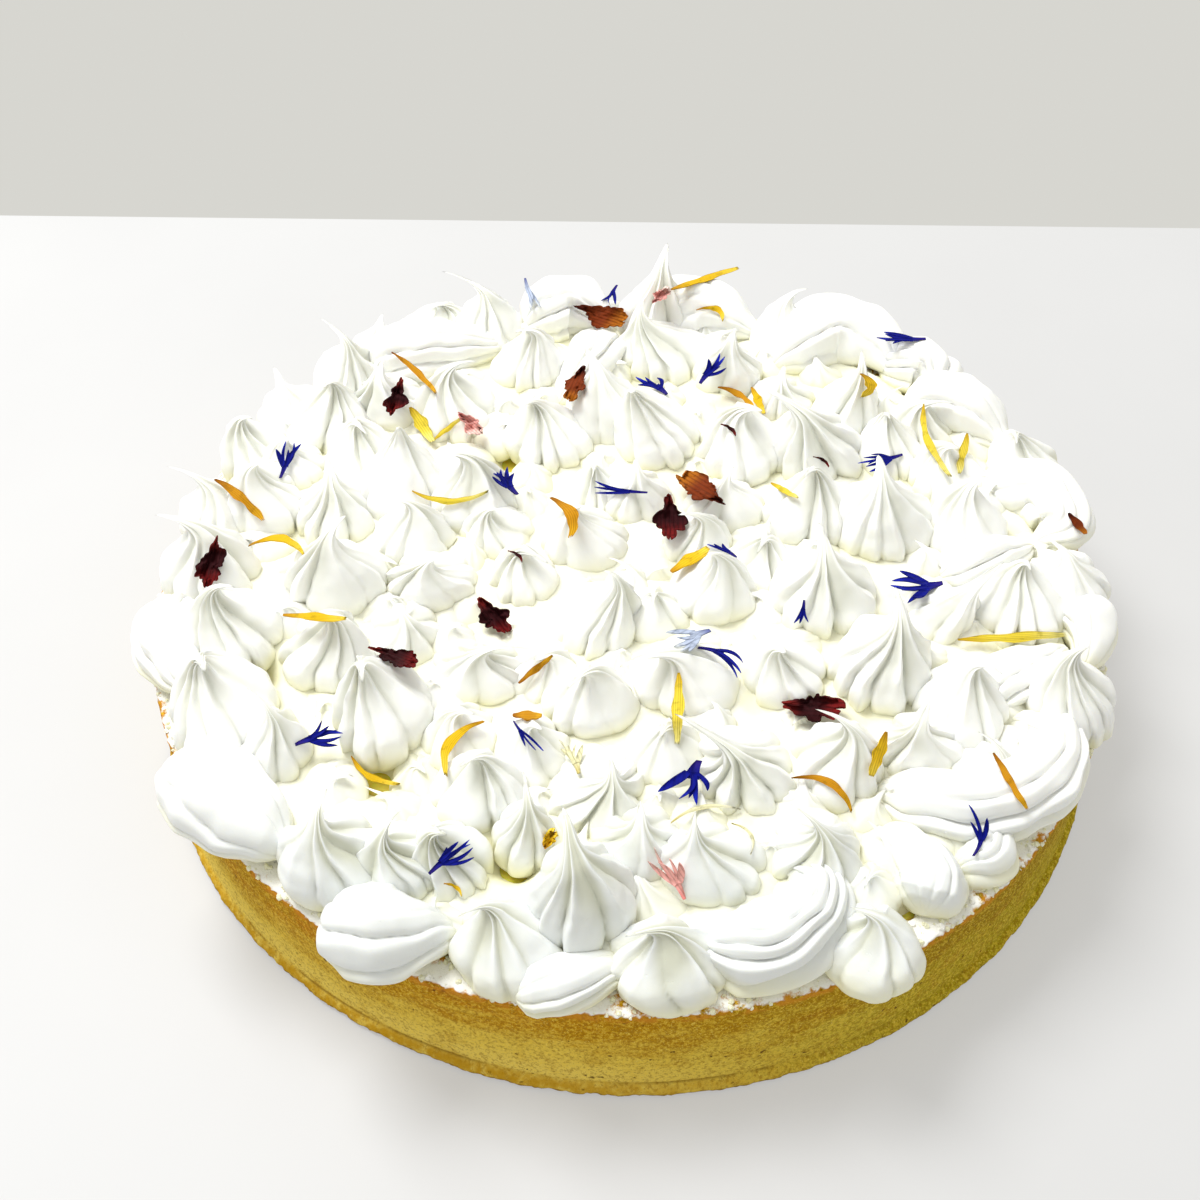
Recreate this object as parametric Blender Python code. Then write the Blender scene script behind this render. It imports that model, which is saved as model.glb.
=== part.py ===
"""Lemon meringue tart, modelled for Blender 4.5 in metres with +Z up.

A straight-sided shortcrust shell holds a disc of lemon curd.
Uncooked-looking white meringue is piped over both: star kisses with pulled tips in the middle,
and longer beads laid along the rim. Dried flower petals are scattered on top.
The origin is the centre of the shell's underside, and -Y faces the viewer.
"""

import math
import random

import bpy
import numpy as np
from mathutils import Matrix, Vector, noise
from mathutils.bvhtree import BVHTree

MM = 0.001

# Shell: the pastry case, pressed in a plain ring
SHELL_FOOT_RADIUS = 130 * MM
SHELL_WALL_RADIUS = 128.6 * MM
SHELL_RIM_RADIUS = 127.5 * MM
SHELL_HEIGHT = 35 * MM
SHELL_WALL = 7 * MM
SHELL_FLOOR = 6 * MM
FOOT_HEIGHT = 4 * MM
RIM_ROUNDING = 1.4 * MM
SHELL_SEGMENTS = 64
RIM_UNEVENNESS = 0.5 * MM
WALL_UNEVENNESS = 0.35 * MM

# Curd: the lemon filling, a little lower than the rim
CURD_TOP = 33.5 * MM
TOUCH_GAP = 0.3 * MM

# Meringue: a spread layer, and star sections swept along spines on top of it
LAYER_RADIUS = 117 * MM
LAYER_TOP = 38 * MM
LAYER_WAVE = 1.6 * MM
LAYER_RINGS = 7
LAYER_SEGMENTS = 30
THIN_SPOT_DEPTH = 8 * MM
THIN_SPOT_WIDTH = 6 * MM
KISS_WIDEN = 1.02
KISS_RINGS = ((0.04, 1.0), (0.46, 0.92), (0.75, 0.52), (0.91, 0.20))
SMALL_KISS = 11.6 * MM
SMALL_KISS_RINGS = ((0.04, 1.0), (0.50, 0.86), (0.82, 0.38))
KISS_LEAN_POWER = 1.7
BEAD_FIRST, BEAD_LAST = 0.03, 0.95
BEAD_SHARES = ((0.0, 0.40), (0.08, 0.80), (0.18, 0.98), (0.36, 1.05), (0.60, 0.92), (0.80, 0.62), (1.0, 0.15))
BEAD_RIDE = 0.42
FOLD_DEPTH = 0.12
KEPT_SHARE = 0.68
PIPING_SEED = 21

# Petals, laid on the meringue where the viewer sees them
EYE = Vector((-8, -280, 335)) * MM
PLAN_HEIGHT = 45 * MM
PETAL_THICKNESS = 0.5 * MM
PETAL_GAP = 0.35 * MM
SETTLE_STEP = 0.1 * MM
PETAL_REACHES = (6 * MM, 11 * MM, 18 * MM, 40 * MM)
PETAL_LIFT = 8 * MM

# Places where the layer thins out and the curd shows, in millimetres
THIN_SPOTS = ((-97, -36), (-27, -90), (-33, 50), (98, -10), (-62, -66))

# Kisses, in millimetres: x and y of the foot, radius, height, and how far the tip leans in x and in y
KISSES = (
    # the middle
    (-9, -18, 11.5, 25, 6, 3), (22, -7, 11, 23, 1, 1), (6, -14, 10, 16, 0, -1), (-12, 13, 11.5, 22, -3, -1),
    (19, 12, 9.5, 20, -1, 0), (2, 30, 10.5, 18, 0, 1), (-10, 31, 8.5, 18, 0, 1), (-29, -1, 10, 18, 2, 0),
    (-39, -34, 11.5, 20, 6, -3), (-10, -45, 11, 24, -2, -2), (15, -38, 12, 23, -10, -2), (40, -34, 11, 21, -4, -3),
    (36, 4, 10, 18, 0, 0), (27, 27, 10.5, 20, 0, 0), (52, -8, 14, 27, -2, 3), (-37, 17, 10, 18, -1, -3),
    (-54, -2, 11.5, 20, 1, -6), (-24, -60, 10, 18, 0, 1), (8, -60, 10.5, 16, 0, 1), (-22, -36, 9.5, 16, 0, 0),
    # the second ring
    (29, -65, 12.5, 21, -11, 1), (50, -64, 11.5, 24, 0, 4), (64, -33, 13.5, 30, 3, 3), (50, 21, 11.5, 28, 0, 3),
    (71, 20, 14, 28, -3, 2), (56, 50, 14, 29, -11, -1), (33, 50, 13, 27, 0, 0), (9, 56, 13, 28, -9, -1),
    (-23, 54, 12.5, 25, -7, -1), (-44, 26, 11.5, 26, -3, 4), (-65, 30, 12, 32, 1, 5), (-60, 12, 10.5, 22, 0, 2),
    (-79, -5, 12.5, 30, 1, 1), (-59, -22, 11, 18, 0, -1), (-78, -31, 11.5, 26, 2, 1), (-61, -50, 13, 30, -5, 1),
    (-42, -56, 10, 17, 0, 2), (-36, -73, 11, 22, -1, 2), (-9, -71, 13, 16, 5, -1), (80, -14, 9.5, 20, 13, 3),
    # the third ring
    (-25, -85, 8, 20, 1, 5), (1, -86, 11, 18, 1, 0), (19, -92, 11.5, 22, -6, 2), (43, -89, 11.5, 20, -2, 2),
    (70, -57, 11, 20, 0, 0), (82, -46, 12, 26, 4, 2), (94, 17, 12, 24, 0, 6), (92, 40, 12, 19, -2, 2),
    (77, 50, 10.5, 22, -3, 3), (65, 67, 10.5, 27, 4, 3), (31, 85, 10, 25, 0, -1), (46, 74, 10.5, 17, 0, 0),
    (-6, 65, 12, 28, -5, 3), (-52, 66, 13, 24, 0, 5), (-72, 70, 11.5, 20, -3, 2), (-78, 46, 11.5, 20, 0, 2),
    (-82, 21, 11.5, 23, -1, 4), (-31, 87, 10.5, 24, 1, 2), (13, 95, 14, 24, -11, 4), (87, 62, 11, 18, 2, 0),
    # the rim, clockwise from the left
    (-103, -24, 13, 28, -2, 1), (-113, -2, 13, 27, -5, 4), (-115, 21, 11, 22, -6, 3), (-103, 24, 12, 26, 0, 1),
    (-98, 42, 10.5, 18, 0, 1), (-108, 45, 11, 22, -4, 3), (-90, 58, 12, 24, 3, 5), (-101, 66, 11, 18, -3, 3),
    (-86, 80, 12, 26, -2, 5), (-76, 98, 11, 16, -2, 1), (-60, 107, 12.5, 17, 0, 1), (-44, 106, 12.5, 24, -6, 7),
    (8, 110, 12, 32, 3, 6), (50, 103, 11.5, 24, 1, 5), (116, 45, 12, 20, -6, 1), (119, -2, 12, 20, -4, 1),
    (103, -12, 13.5, 24, 0, 4), (111, -44, 11.5, 28, -3, 3), (87, -66, 11, 18, 0, 2), (53, -113, 11.5, 17, -1, 4),
    (8, -117, 12.5, 18, -4, 3), (-11, -103, 13, 31, -3, 5), (-27, -114, 12, 21, -7, 4), (-41, -92, 10, 20, -4, 1),
    (-53, -93, 10.5, 22, -3, 2), (-68, -92, 13, 25, -3, 3), (-87, -60, 10, 24, -1, 3), (-100, -51, 14.5, 29, -5, 4),
)

# Beads, in millimetres: the points that the bead runs through, in plan, and its radius
BEADS = (
    (((-109, -62), (-98, -75), (-87, -84), (-78, -89)), 12.0),
    (((-67, -105), (-54, -112), (-38, -108)), 11.0),
    (((-26, -123), (-13, -121), (1, -114)), 7.0),
    (((14, -111), (27, -114), (38, -108), (42, -97), (32, -87)), 10.5),
    (((66, -103), (68, -93), (60, -79)), 8.5),
    (((74, -92), (83, -88), (84, -79), (76, -76)), 6.5),
    (((57, -69), (80, -76), (99, -67), (105, -53), (95, -47)), 10.0),
    (((88, -41), (101, -34), (115, -24)), 8.5),
    (((100, 36), (117, 33), (121, 19), (112, 14)), 10.0),
    (((84, 76), (101, 67), (113, 54)), 11.0),
    (((78, 93), (94, 87), (93, 73)), 9.5),
    (((44, 90), (62, 104), (78, 99), (86, 86)), 12.5),
    (((4, 109), (24, 115), (43, 106)), 12.0),
    (((-33, 109), (-18, 116), (-3, 108)), 12.0),
    (((-81, 87), (-62, 93), (-35, 100)), 11.5),
    (((-4, 101), (-12, 88), (-22, 72)), 9.5),
    (((84, 0), (98, 5), (112, 14)), 9.0),
    (((-117, -12), (-119, -28), (-109, -43)), 10.0),
    (((118, -7), (121, -19), (117, -31)), 8.0),
)

# Petals: kind, colour, the two ends on a plan 45 mm up, width, curl up and bow sideways, all in millimetres.
# Each end is where the eye's line of sight crosses that plan.
PETALS = (
    ("broad", "rose", -112, 6, -112, -10, 6, 1.5, 0),
    ("ray", "yellow", -102, 4, -87, 1, 3, 3, 4.5),
    ("ray", "yellow", -90, -21, -74, -22, 3, 1, 0),
    ("broad", "rose", -66, -32, -54, -37, 5, 1, 0),
    ("broad", "rose", -39, -15, -32, -26, 7, 1.5, 0),
    ("ray", "orange", -28, -43, -20, -34, 2.2, 1, 0),
    ("ray", "orange", -29, -53, -22, -53, 3, 1, 0),
    ("floret", "blue", -29, -55, -22, -65, 3, 1, 0),
    ("ray", "yellow", -36, -55, -44, -71, 3, 2.5, -4),
    ("floret", "blue", -81, -62, -69, -58, 7, 1, 0),
    ("ray", "yellow", -67, -66, -55, -74, 2, 1.5, -2),
    ("floret", "blue", -46, -98, -36, -89, 6, 1, 0),
    ("floret", "pale", -12, -70, -16, -60, 6, 1, 0),
    ("ray", "orange", -117, 30, -101, 14, 3.6, 1.5, 1),
    ("floret", "blue", -98, 31, -98, 48, 6, 1.5, 0),
    ("ray", "orange", -73, 88, -58, 69, 2.6, 1, 1),
    ("broad", "rose", -69, 75, -70, 60, 5.5, 1, 0),
    ("ray", "yellow", -65, 62, -57, 47, 4.5, 1, 0),
    ("ray", "yellow", -57, 47, -49, 58, 2.2, 1, 0),
    ("broad", "pink", -50, 59, -43, 51, 5, 1, 0),
    ("ray", "yellow", -61, 26, -40, 26, 3, 1.5, -4),
    ("floret", "blue", -32, 25, -38, 37, 7, 1, 0),
    ("floret", "blue", 5, 26, -13, 29, 5, 1.5, 0),
    ("ray", "orange", -22, 24, -16, 9, 4, 2.5, 3),
    ("broad", "rose", -14, 81, -18, 66, 6, 1, 0),
    ("broad", "rose", -17, 112, -1, 104, 9, 1, 0),
    ("floret", "blue", -4, 124, -7, 111, 5, 1, 0),
    ("floret", "pale", -34, 127, -29, 109, 5, 1, 0),
    ("ray", "orange", 14, 122, 36, 134, 3.4, 1, 0),
    ("floret", "pink", 12, -104, 5, -91, 6, 1, 0),
    ("ray", "yellow", 22, 111, 30, 106, 3.5, 2, 4),
    ("floret", "blue", 21, 75, 30, 88, 7, 1, 0),
    ("floret", "blue", 12, 68, 3, 76, 8, 1, 0),
    ("ray", "orange", 27, 71, 37, 61, 3, 1.5, 2),
    ("ray", "yellow", 37, 73, 40, 61, 3, 1, 0),
    ("floret", "blue", 93, 97, 77, 98, 7, 1, 0),
    ("ray", "yellow", 71, 80, 70, 69, 4, 2.5, 3),
    ("ray", "yellow", 88, 66, 91, 35, 2.8, 2.5, -2.5),
    ("ray", "yellow", 99, 53, 94, 36, 2.8, 1, 0),
    ("floret", "blue", 79, 41, 65, 37, 6, 1, 0),
    ("ray", "yellow", 40, 31, 47, 25, 2.5, 1, 0),
    ("broad", "rust", 15, 33, 26, 23, 9, 1, 0),
    ("broad", "rose", 11, 26, 11, 9, 7, 1.5, 0),
    ("floret", "blue", 29, 2, 21, 8, 4, 1, 0),
    ("ray", "yellow", 12, -5, 22, 4, 4, 1, 0),
    ("floret", "blue", 83, -8, 69, -9, 10, 1, 0),
    ("floret", "blue", 46, -14, 43, -25, 4, 1, 0),
    ("ray", "yellow", 84, -27, 112, -25, 3.6, 1, 0),
    ("floret", "pale", 20, -24, 10, -31, 8, 1, 0),
    ("floret", "blue", 17, -31, 28, -40, 5, 1.5, 3),
    ("ray", "yellow", 12, -39, 11, -61, 3.4, 1, 0),
    ("floret", "blue", 15, -66, 13, -79, 12, 1, 0),
    ("broad", "rose", 37, -49, 54, -50, 7, 1, 0),
    ("ray", "yellow", 62, -57, 57, -70, 3.2, 1, 0),
    ("ray", "orange", 38, -71, 51, -80, 2.6, 2, 4),
    ("ray", "orange", 87, -63, 92, -79, 2.4, 1, 0),
    ("floret", "blue", 78, -92, 78, -77, 6, 1.5, -2.5),
)
PETAL_COLOURS = {
    "yellow": (0.80, 0.50, 0.04),
    "orange": (0.72, 0.28, 0.03),
    "rust": (0.40, 0.12, 0.02),
    "rose": (0.20, 0.015, 0.02),
    "pink": (0.85, 0.50, 0.46),
    "blue": (0.02, 0.02, 0.28),
    "pale": (0.50, 0.56, 0.70),
}


def clear_scene():
    for thing in list(bpy.data.objects):
        bpy.data.objects.remove(thing)


def finish_material(name, colour, roughness):
    material = bpy.data.materials.new(name)
    material.use_nodes = True
    shader = material.node_tree.nodes["Principled BSDF"]
    shader.inputs["Base Color"].default_value = (*colour, 1.0)
    shader.inputs["Roughness"].default_value = roughness
    shader.inputs["Metallic"].default_value = 0.0
    return material


def link_object(name, mesh, material):
    body = bpy.data.objects.new(name, mesh)
    bpy.context.scene.collection.objects.link(body)
    if not mesh.materials:
        mesh.materials.append(material)
    return body


def mesh_of(name, points, faces):
    mesh = bpy.data.meshes.new(name)
    mesh.from_pydata([tuple(p) for p in points], [], faces)
    mesh.validate()
    return mesh


def turned(profile, segments, wobble):
    """Points and faces of a profile of (radius, height) turned about +Z. The first and last points lie on the axis."""
    points = [Vector((0, 0, profile[0][1]))]
    inner = profile[1:-1]
    for step in range(segments):
        angle = math.tau * step / segments
        for radius, height in inner:
            points.append(wobble(angle, radius, height))
    points.append(Vector((0, 0, profile[-1][1])))
    count = len(inner)
    faces = []
    for step in range(segments):
        here = 1 + step * count
        there = 1 + (step + 1) % segments * count
        faces.append((0, there, here))
        for k in range(count - 1):
            faces.append((here + k, there + k, there + k + 1, here + k + 1))
        faces.append((here + count - 1, there + count - 1, len(points) - 1))
    return points, faces


def on_circle(angle, radius, height):
    return Vector((radius * math.cos(angle), radius * math.sin(angle), height))


def pastry_wobble(angle, radius, height):
    """The shell is hand pressed: its outer face and rim wander a little, and its foot and inside stay true."""
    outside = radius > SHELL_RIM_RADIUS - SHELL_WALL / 2
    seed = Vector((math.cos(angle) * 3, math.sin(angle) * 3, height / (12 * MM)))
    if outside and height > FOOT_HEIGHT:
        radius += WALL_UNEVENNESS * noise.noise(seed)
    if height > SHELL_HEIGHT - 2 * RIM_ROUNDING:
        height -= RIM_UNEVENNESS * (0.5 + 0.5 * noise.noise(seed * 1.7 + Vector((5, 2, 0))))
    return on_circle(angle, radius, height)


def inner_radius():
    return SHELL_RIM_RADIUS - SHELL_WALL


def make_shell(material):
    edge = RIM_ROUNDING
    profile = (
        (0, 0),
        (SHELL_FOOT_RADIUS - 0.8 * MM, 0),
        (SHELL_FOOT_RADIUS, 0.9 * MM),
        (SHELL_FOOT_RADIUS - 0.1 * MM, FOOT_HEIGHT - 0.8 * MM),
        (SHELL_WALL_RADIUS, FOOT_HEIGHT),
        (SHELL_RIM_RADIUS + 0.3 * MM, SHELL_HEIGHT * 0.6),
        (SHELL_RIM_RADIUS, SHELL_HEIGHT - edge),
        (SHELL_RIM_RADIUS - edge, SHELL_HEIGHT),
        (inner_radius() + edge, SHELL_HEIGHT),
        (inner_radius(), SHELL_HEIGHT - edge),
        (inner_radius(), SHELL_FLOOR),
        (0, SHELL_FLOOR),
    )
    points, faces = turned(profile, SHELL_SEGMENTS, pastry_wobble)
    shell = link_object("pastry_shell", mesh_of("pastry_shell", points, faces), material)
    shell.data.shade_smooth()
    return shell


def make_curd(material):
    profile = (
        (0, SHELL_FLOOR + TOUCH_GAP),
        (inner_radius() - TOUCH_GAP, SHELL_FLOOR + TOUCH_GAP),
        (inner_radius() - TOUCH_GAP, CURD_TOP - 0.6 * MM),
        (inner_radius() - 1.5 * MM, CURD_TOP),
        (0, CURD_TOP),
    )
    points, faces = turned(profile, SHELL_SEGMENTS, on_circle)
    return link_object("lemon_curd", mesh_of("lemon_curd", points, faces), material)


def star_rings(centres, radii, lobes, tip, turn):
    """Star sections round each centre, closed by a fan under the first and drawn to a tip after the last."""
    sides = 2 * lobes
    points = []
    ahead = centres[1:] + [tip]
    behind = [centres[0]] + centres[:-1]
    side = None
    for centre, radius, after, before in zip(centres, radii, ahead, behind):
        along = (after - before).normalized()
        if side is None:
            side = along.orthogonal().normalized()
            side = Matrix.Rotation(turn, 3, along) @ side
        side = (side - along * side.dot(along)).normalized()
        across = along.cross(side)
        for k in range(sides):
            angle = math.tau * k / sides
            reach = radius * (1 + FOLD_DEPTH if k % 2 else 1 - FOLD_DEPTH)
            points.append(centre + reach * (math.cos(angle) * side + math.sin(angle) * across))
    return points


def star_faces(rings, sides, first, last):
    """Faces of stacked star sections, with a fan at each end to the points numbered first and last."""
    faces = []
    for k in range(sides):
        after = (k + 1) % sides
        faces.append((first, after, k))
        for ring in range(rings - 1):
            low, high = ring * sides, (ring + 1) * sides
            faces.append((low + k, low + after, high + after, high + k))
        top = (rings - 1) * sides
        faces.append((top + k, top + after, last))
    return faces


def kiss(row, draw):
    """One star kiss: a bulb that narrows to a leaning tip."""
    x, y, radius, height, lean_x, lean_y = (value * MM for value in row)
    foot = Vector((x, y, CURD_TOP))
    lean = Vector((lean_x, lean_y, 0))
    rings = SMALL_KISS_RINGS if radius < SMALL_KISS else KISS_RINGS
    centres = [foot + level**KISS_LEAN_POWER * lean + Vector((0, 0, level * height)) for level, _ in rings]
    radii = [share * radius * KISS_WIDEN for _, share in rings]
    tip = foot + lean + Vector((0, 0, height))
    lobes = 5 if radius < SMALL_KISS else 6
    points = star_rings(centres, radii, lobes, tip, draw.uniform(0, math.tau))
    end = len(points)
    points += [centres[0], tip]
    return points, star_faces(len(centres), 2 * lobes, end, end + 1)


def through(stops, t):
    """A smooth line through the stops (Catmull-Rom), for t from 0 to 1."""
    reach = t * (len(stops) - 1)
    k = min(int(reach), len(stops) - 2)
    f = reach - k
    a, b = stops[k], stops[k + 1]
    before = stops[k - 1] if k > 0 else 2 * a - b
    after = stops[k + 2] if k + 2 < len(stops) else 2 * b - a
    bend = 2 * before - 5 * a + 4 * b - after
    return 0.5 * (2 * a + (b - before) * f + bend * f * f + (3 * a - before - 3 * b + after) * f**3)


def bead(row, draw):
    """One long bead round a bend: round where the nozzle starts, drawn thin where it is pulled away."""
    stops = [Vector((x * MM, y * MM, 0)) for x, y in row[0]]
    radius = row[1] * MM

    def along(t):
        flat = through(stops, t)
        lift = CURD_TOP + radius * (BEAD_RIDE + 0.25 * math.sin(math.pi * t))
        return Vector((flat.x, flat.y, lift))

    rings = len(stops) + 3
    turns = [0.5 - 0.5 * math.cos(math.pi * k / (rings - 1)) for k in range(rings)]
    times = [BEAD_FIRST + (BEAD_LAST - BEAD_FIRST) * turn for turn in turns]
    centres = [along(t) for t in times]
    radii = [float(share) * radius for share in np.interp(times, *zip(*BEAD_SHARES))]
    lobes = 6
    points = star_rings(centres, radii, lobes, along(1.0), draw.uniform(0, math.tau))
    end = len(points)
    points += [along(0.0), along(1.0)]
    return points, star_faces(len(centres), 2 * lobes, end, end + 1)


def layer_height(x, y):
    """Top of the spread layer: wavy, and sunk at the thin spots."""
    height = LAYER_TOP + LAYER_WAVE * noise.noise(Vector((x / (22 * MM), y / (22 * MM), 3)))
    for spot in THIN_SPOTS:
        gap = math.hypot(x - spot[0] * MM, y - spot[1] * MM) / THIN_SPOT_WIDTH
        height -= THIN_SPOT_DEPTH * math.exp(-gap * gap)
    return height


def spread_layer():
    """The spread layer: rings of points on its wavy top over a flat underside."""
    points = [Vector((0, 0, layer_height(0, 0)))]
    for ring in range(1, LAYER_RINGS + 1):
        radius = LAYER_RADIUS * ring / LAYER_RINGS
        for step in range(LAYER_SEGMENTS):
            spot = on_circle(math.tau * (step + ring % 2 / 2) / LAYER_SEGMENTS, radius, 0)
            points.append(Vector((spot.x, spot.y, layer_height(spot.x, spot.y))))
    floor = CURD_TOP - 3 * MM
    points += [Vector((p.x, p.y, floor)) for p in points[-LAYER_SEGMENTS:]]
    points.append(Vector((0, 0, floor)))
    faces = []
    for step in range(LAYER_SEGMENTS):
        after = (step + 1) % LAYER_SEGMENTS
        faces.append((0, 1 + step, 1 + after))
        for ring in range(LAYER_RINGS):
            near, far = 1 + ring * LAYER_SEGMENTS, 1 + (ring + 1) * LAYER_SEGMENTS
            faces.append((near + step, far + step, far + after, near + after))
        outer = 1 + LAYER_RINGS * LAYER_SEGMENTS
        faces.append((outer + step, len(points) - 1, outer + after))
    return points, faces


def make_seat():
    """The room that the shell and the curd need under the meringue, turned as one solid."""
    profile = (
        (0, -5 * MM),
        (SHELL_FOOT_RADIUS, -5 * MM),
        (SHELL_RIM_RADIUS + 0.8 * MM, FOOT_HEIGHT),
        (SHELL_RIM_RADIUS + 0.8 * MM, SHELL_HEIGHT - RIM_ROUNDING),
        (SHELL_RIM_RADIUS - 0.6 * MM, SHELL_HEIGHT + TOUCH_GAP),
        (inner_radius(), SHELL_HEIGHT + TOUCH_GAP),
        (inner_radius() - 1.2 * MM, CURD_TOP + TOUCH_GAP),
        (0, CURD_TOP + TOUCH_GAP),
    )
    points, faces = turned(profile, SHELL_SEGMENTS, on_circle)
    seat = bpy.data.objects.new("seat", mesh_of("seat", points, faces))
    bpy.context.scene.collection.objects.link(seat)
    seat.hide_render = True
    seat.display_type = "WIRE"
    return seat


def make_meringue(material):
    """Every kiss and bead, fused into one body and cut to sit on the shell and the curd."""
    draw = random.Random(PIPING_SEED)
    forms = [spread_layer()] + [kiss(row, draw) for row in KISSES] + [bead(row, draw) for row in BEADS]
    group = bpy.data.collections.new("piped_forms")
    bpy.context.scene.collection.children.link(group)
    for number, (points, faces) in enumerate(forms[1:]):
        name = f"form_{number}"
        group.objects.link(bpy.data.objects.new(name, mesh_of(name, points, faces)))
    whole = link_object("meringue", mesh_of("meringue", *forms[0]), material)
    fuse = whole.modifiers.new("fuse", "BOOLEAN")
    fuse.operation = "UNION"
    fuse.operand_type = "COLLECTION"
    fuse.collection = group
    fuse.solver = "MANIFOLD"
    seat = make_seat()
    trim = whole.modifiers.new("trim", "BOOLEAN")
    trim.operation = "DIFFERENCE"
    trim.object = seat
    trim.solver = "MANIFOLD"
    thin = whole.modifiers.new("thin", "DECIMATE")
    thin.ratio = KEPT_SHARE
    thin.use_collapse_triangulate = True
    bpy.context.view_layer.update()
    graph = bpy.context.evaluated_depsgraph_get()
    fused = bpy.data.meshes.new_from_object(whole.evaluated_get(graph))
    whole.modifiers.clear()
    whole.data = fused
    for form in list(group.objects) + [seat]:
        bpy.data.objects.remove(form)
    bpy.data.collections.remove(group)
    return whole


def plan_point(x, y):
    return Vector((x * MM, y * MM, PLAN_HEIGHT))


def seen_height(tree, target):
    """How far towards the eye the meringue comes on the line of sight to a plan point, from that point."""
    sight = target - EYE
    found = tree.ray_cast(EYE, sight.normalized())
    return sight.length - found[3] if found[0] is not None else -8 * MM


def ray_outline():
    """A slim ray petal: stations along it, each with its half widths left and right, and its triangles."""
    spots = [(0.0, 0.0)]
    for t, half in ((0.14, 0.30), (0.42, 0.50), (0.72, 0.46), (0.92, 0.30)):
        spots += [(t, -half), (t, half)]
    spots.append((1.0, 0.0))
    triangles = [(0, 1, 2)]
    for k in (1, 3, 5):
        triangles += [(k, k + 2, k + 3), (k, k + 3, k + 1)]
    triangles.append((7, 9, 8))
    return spots, triangles, (0, 1, 3, 5, 7, 9, 8, 6, 4, 2)


def floret_outline():
    """A cornflower floret: a slim tube that opens into four pointed lobes."""
    spots = [(0.0, -0.09), (0.0, 0.09), (0.45, -0.16), (0.45, 0.16)]
    spots += [(0.80, -0.50), (0.66, -0.16), (1.0, -0.20), (0.74, 0.0), (0.97, 0.24), (0.64, 0.17), (0.76, 0.50)]
    triangles = [(0, 2, 3), (0, 3, 1), (2, 4, 5), (2, 5, 7), (5, 6, 7), (2, 7, 3), (3, 7, 9), (7, 8, 9), (3, 9, 10)]
    return spots, triangles, (0, 2, 4, 5, 6, 7, 8, 9, 10, 3, 1)


def broad_outline():
    """A broad rose petal: a crinkled oval, three points across at each station."""
    spots = [(0.0, 0.0)]
    for t, half in ((0.22, 0.42), (0.58, 0.50), (0.86, 0.34)):
        spots += [(t, -half), (t, 0.06), (t, half)]
    spots.append((1.0, 0.08))
    triangles = [(0, 1, 2), (0, 2, 3)]
    for k in (1, 2, 4, 5):
        triangles += [(k, k + 3, k + 4), (k, k + 4, k + 1)]
    triangles += [(7, 10, 8), (8, 10, 9)]
    return spots, triangles, (0, 1, 4, 7, 10, 9, 6, 3)


OUTLINES = {"ray": ray_outline, "floret": floret_outline, "broad": broad_outline}


def petal_rise(kind, t, s, curl):
    """How far a dried petal bends up from its plane: its ends curl, and broad ones are crinkled and cupped."""
    rise = curl * (2 * t - 1) ** 2
    if kind == "broad":
        rise += 1.6 * MM * abs(2 * s) ** 2 + 0.5 * MM * math.sin(9 * t + 5 * s)
    if kind == "floret":
        rise += 1.2 * MM * abs(2 * s) * t
    return rise


def drape(heights):
    """The taut line over a row of (place, height): bumps hold it up and hollows are bridged."""
    hull = []
    for spot in sorted(heights):
        while len(hull) > 1:
            (x1, y1), (x2, y2) = hull[-2:]
            if (x2 - x1) * (spot[1] - y1) >= (spot[0] - x1) * (y2 - y1):
                hull.pop()
            else:
                break
        hull.append(spot)
    return hull


def along_hull(hull, t):
    for (x1, y1), (x2, y2) in zip(hull, hull[1:]):
        if t <= x2:
            return y1 + (y2 - y1) * (t - x1) / (x2 - x1)
    return hull[-1][1]


def petal_body(tree, row, reach):
    """Points and faces of one petal, draped over the meringue as the eye sees it, and its upward direction."""
    kind, _, x1, y1, x2, y2, width, curl, bow = row
    first, last = plan_point(x1, y1), plan_point(x2, y2)
    aside = Vector((0, 0, 1)).cross(last - first).normalized() * MM
    up = (EYE - first.lerp(last, 0.5)).normalized()

    def on_plan(t, s):
        return first.lerp(last, t) + (s * width + bow * 4 * t * (1 - t)) * aside

    steps = [k / 12 for k in range(13)]
    edges = (-0.5, -0.25, 0.0, 0.25, 0.5)
    seen = {(t, s): seen_height(tree, on_plan(t, s)) for t in steps for s in edges}
    middle = sorted(seen.values())[len(seen) // 2]
    low, high = middle - reach, middle + reach
    seen = {spot: min(max(height, low), high) for spot, height in seen.items()}
    tilt = sum(seen[t, 0.5] - seen[t, -0.5] for t in steps) / len(steps)
    hull = drape([(t, max(seen[t, s] - tilt * s for s in edges)) for t in steps])
    spots, triangles, edge = OUTLINES[kind]()
    lower = []
    for t, s in spots:
        rise = along_hull(hull, t) + tilt * s + petal_rise(kind, t, s, curl * MM)
        place = on_plan(t, s)
        lower.append(place + rise * (EYE - place).normalized())
    upper = [p + PETAL_THICKNESS * up for p in lower]
    count = len(lower)
    faces = [tuple(reversed(f)) for f in triangles]
    faces += [tuple(k + count for k in f) for f in triangles]
    for here, there in zip(edge, edge[1:] + edge[:1]):
        faces.append((here, there, there + count))
        faces.append((here, there + count, here + count))
    return lower + upper, faces, up


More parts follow.
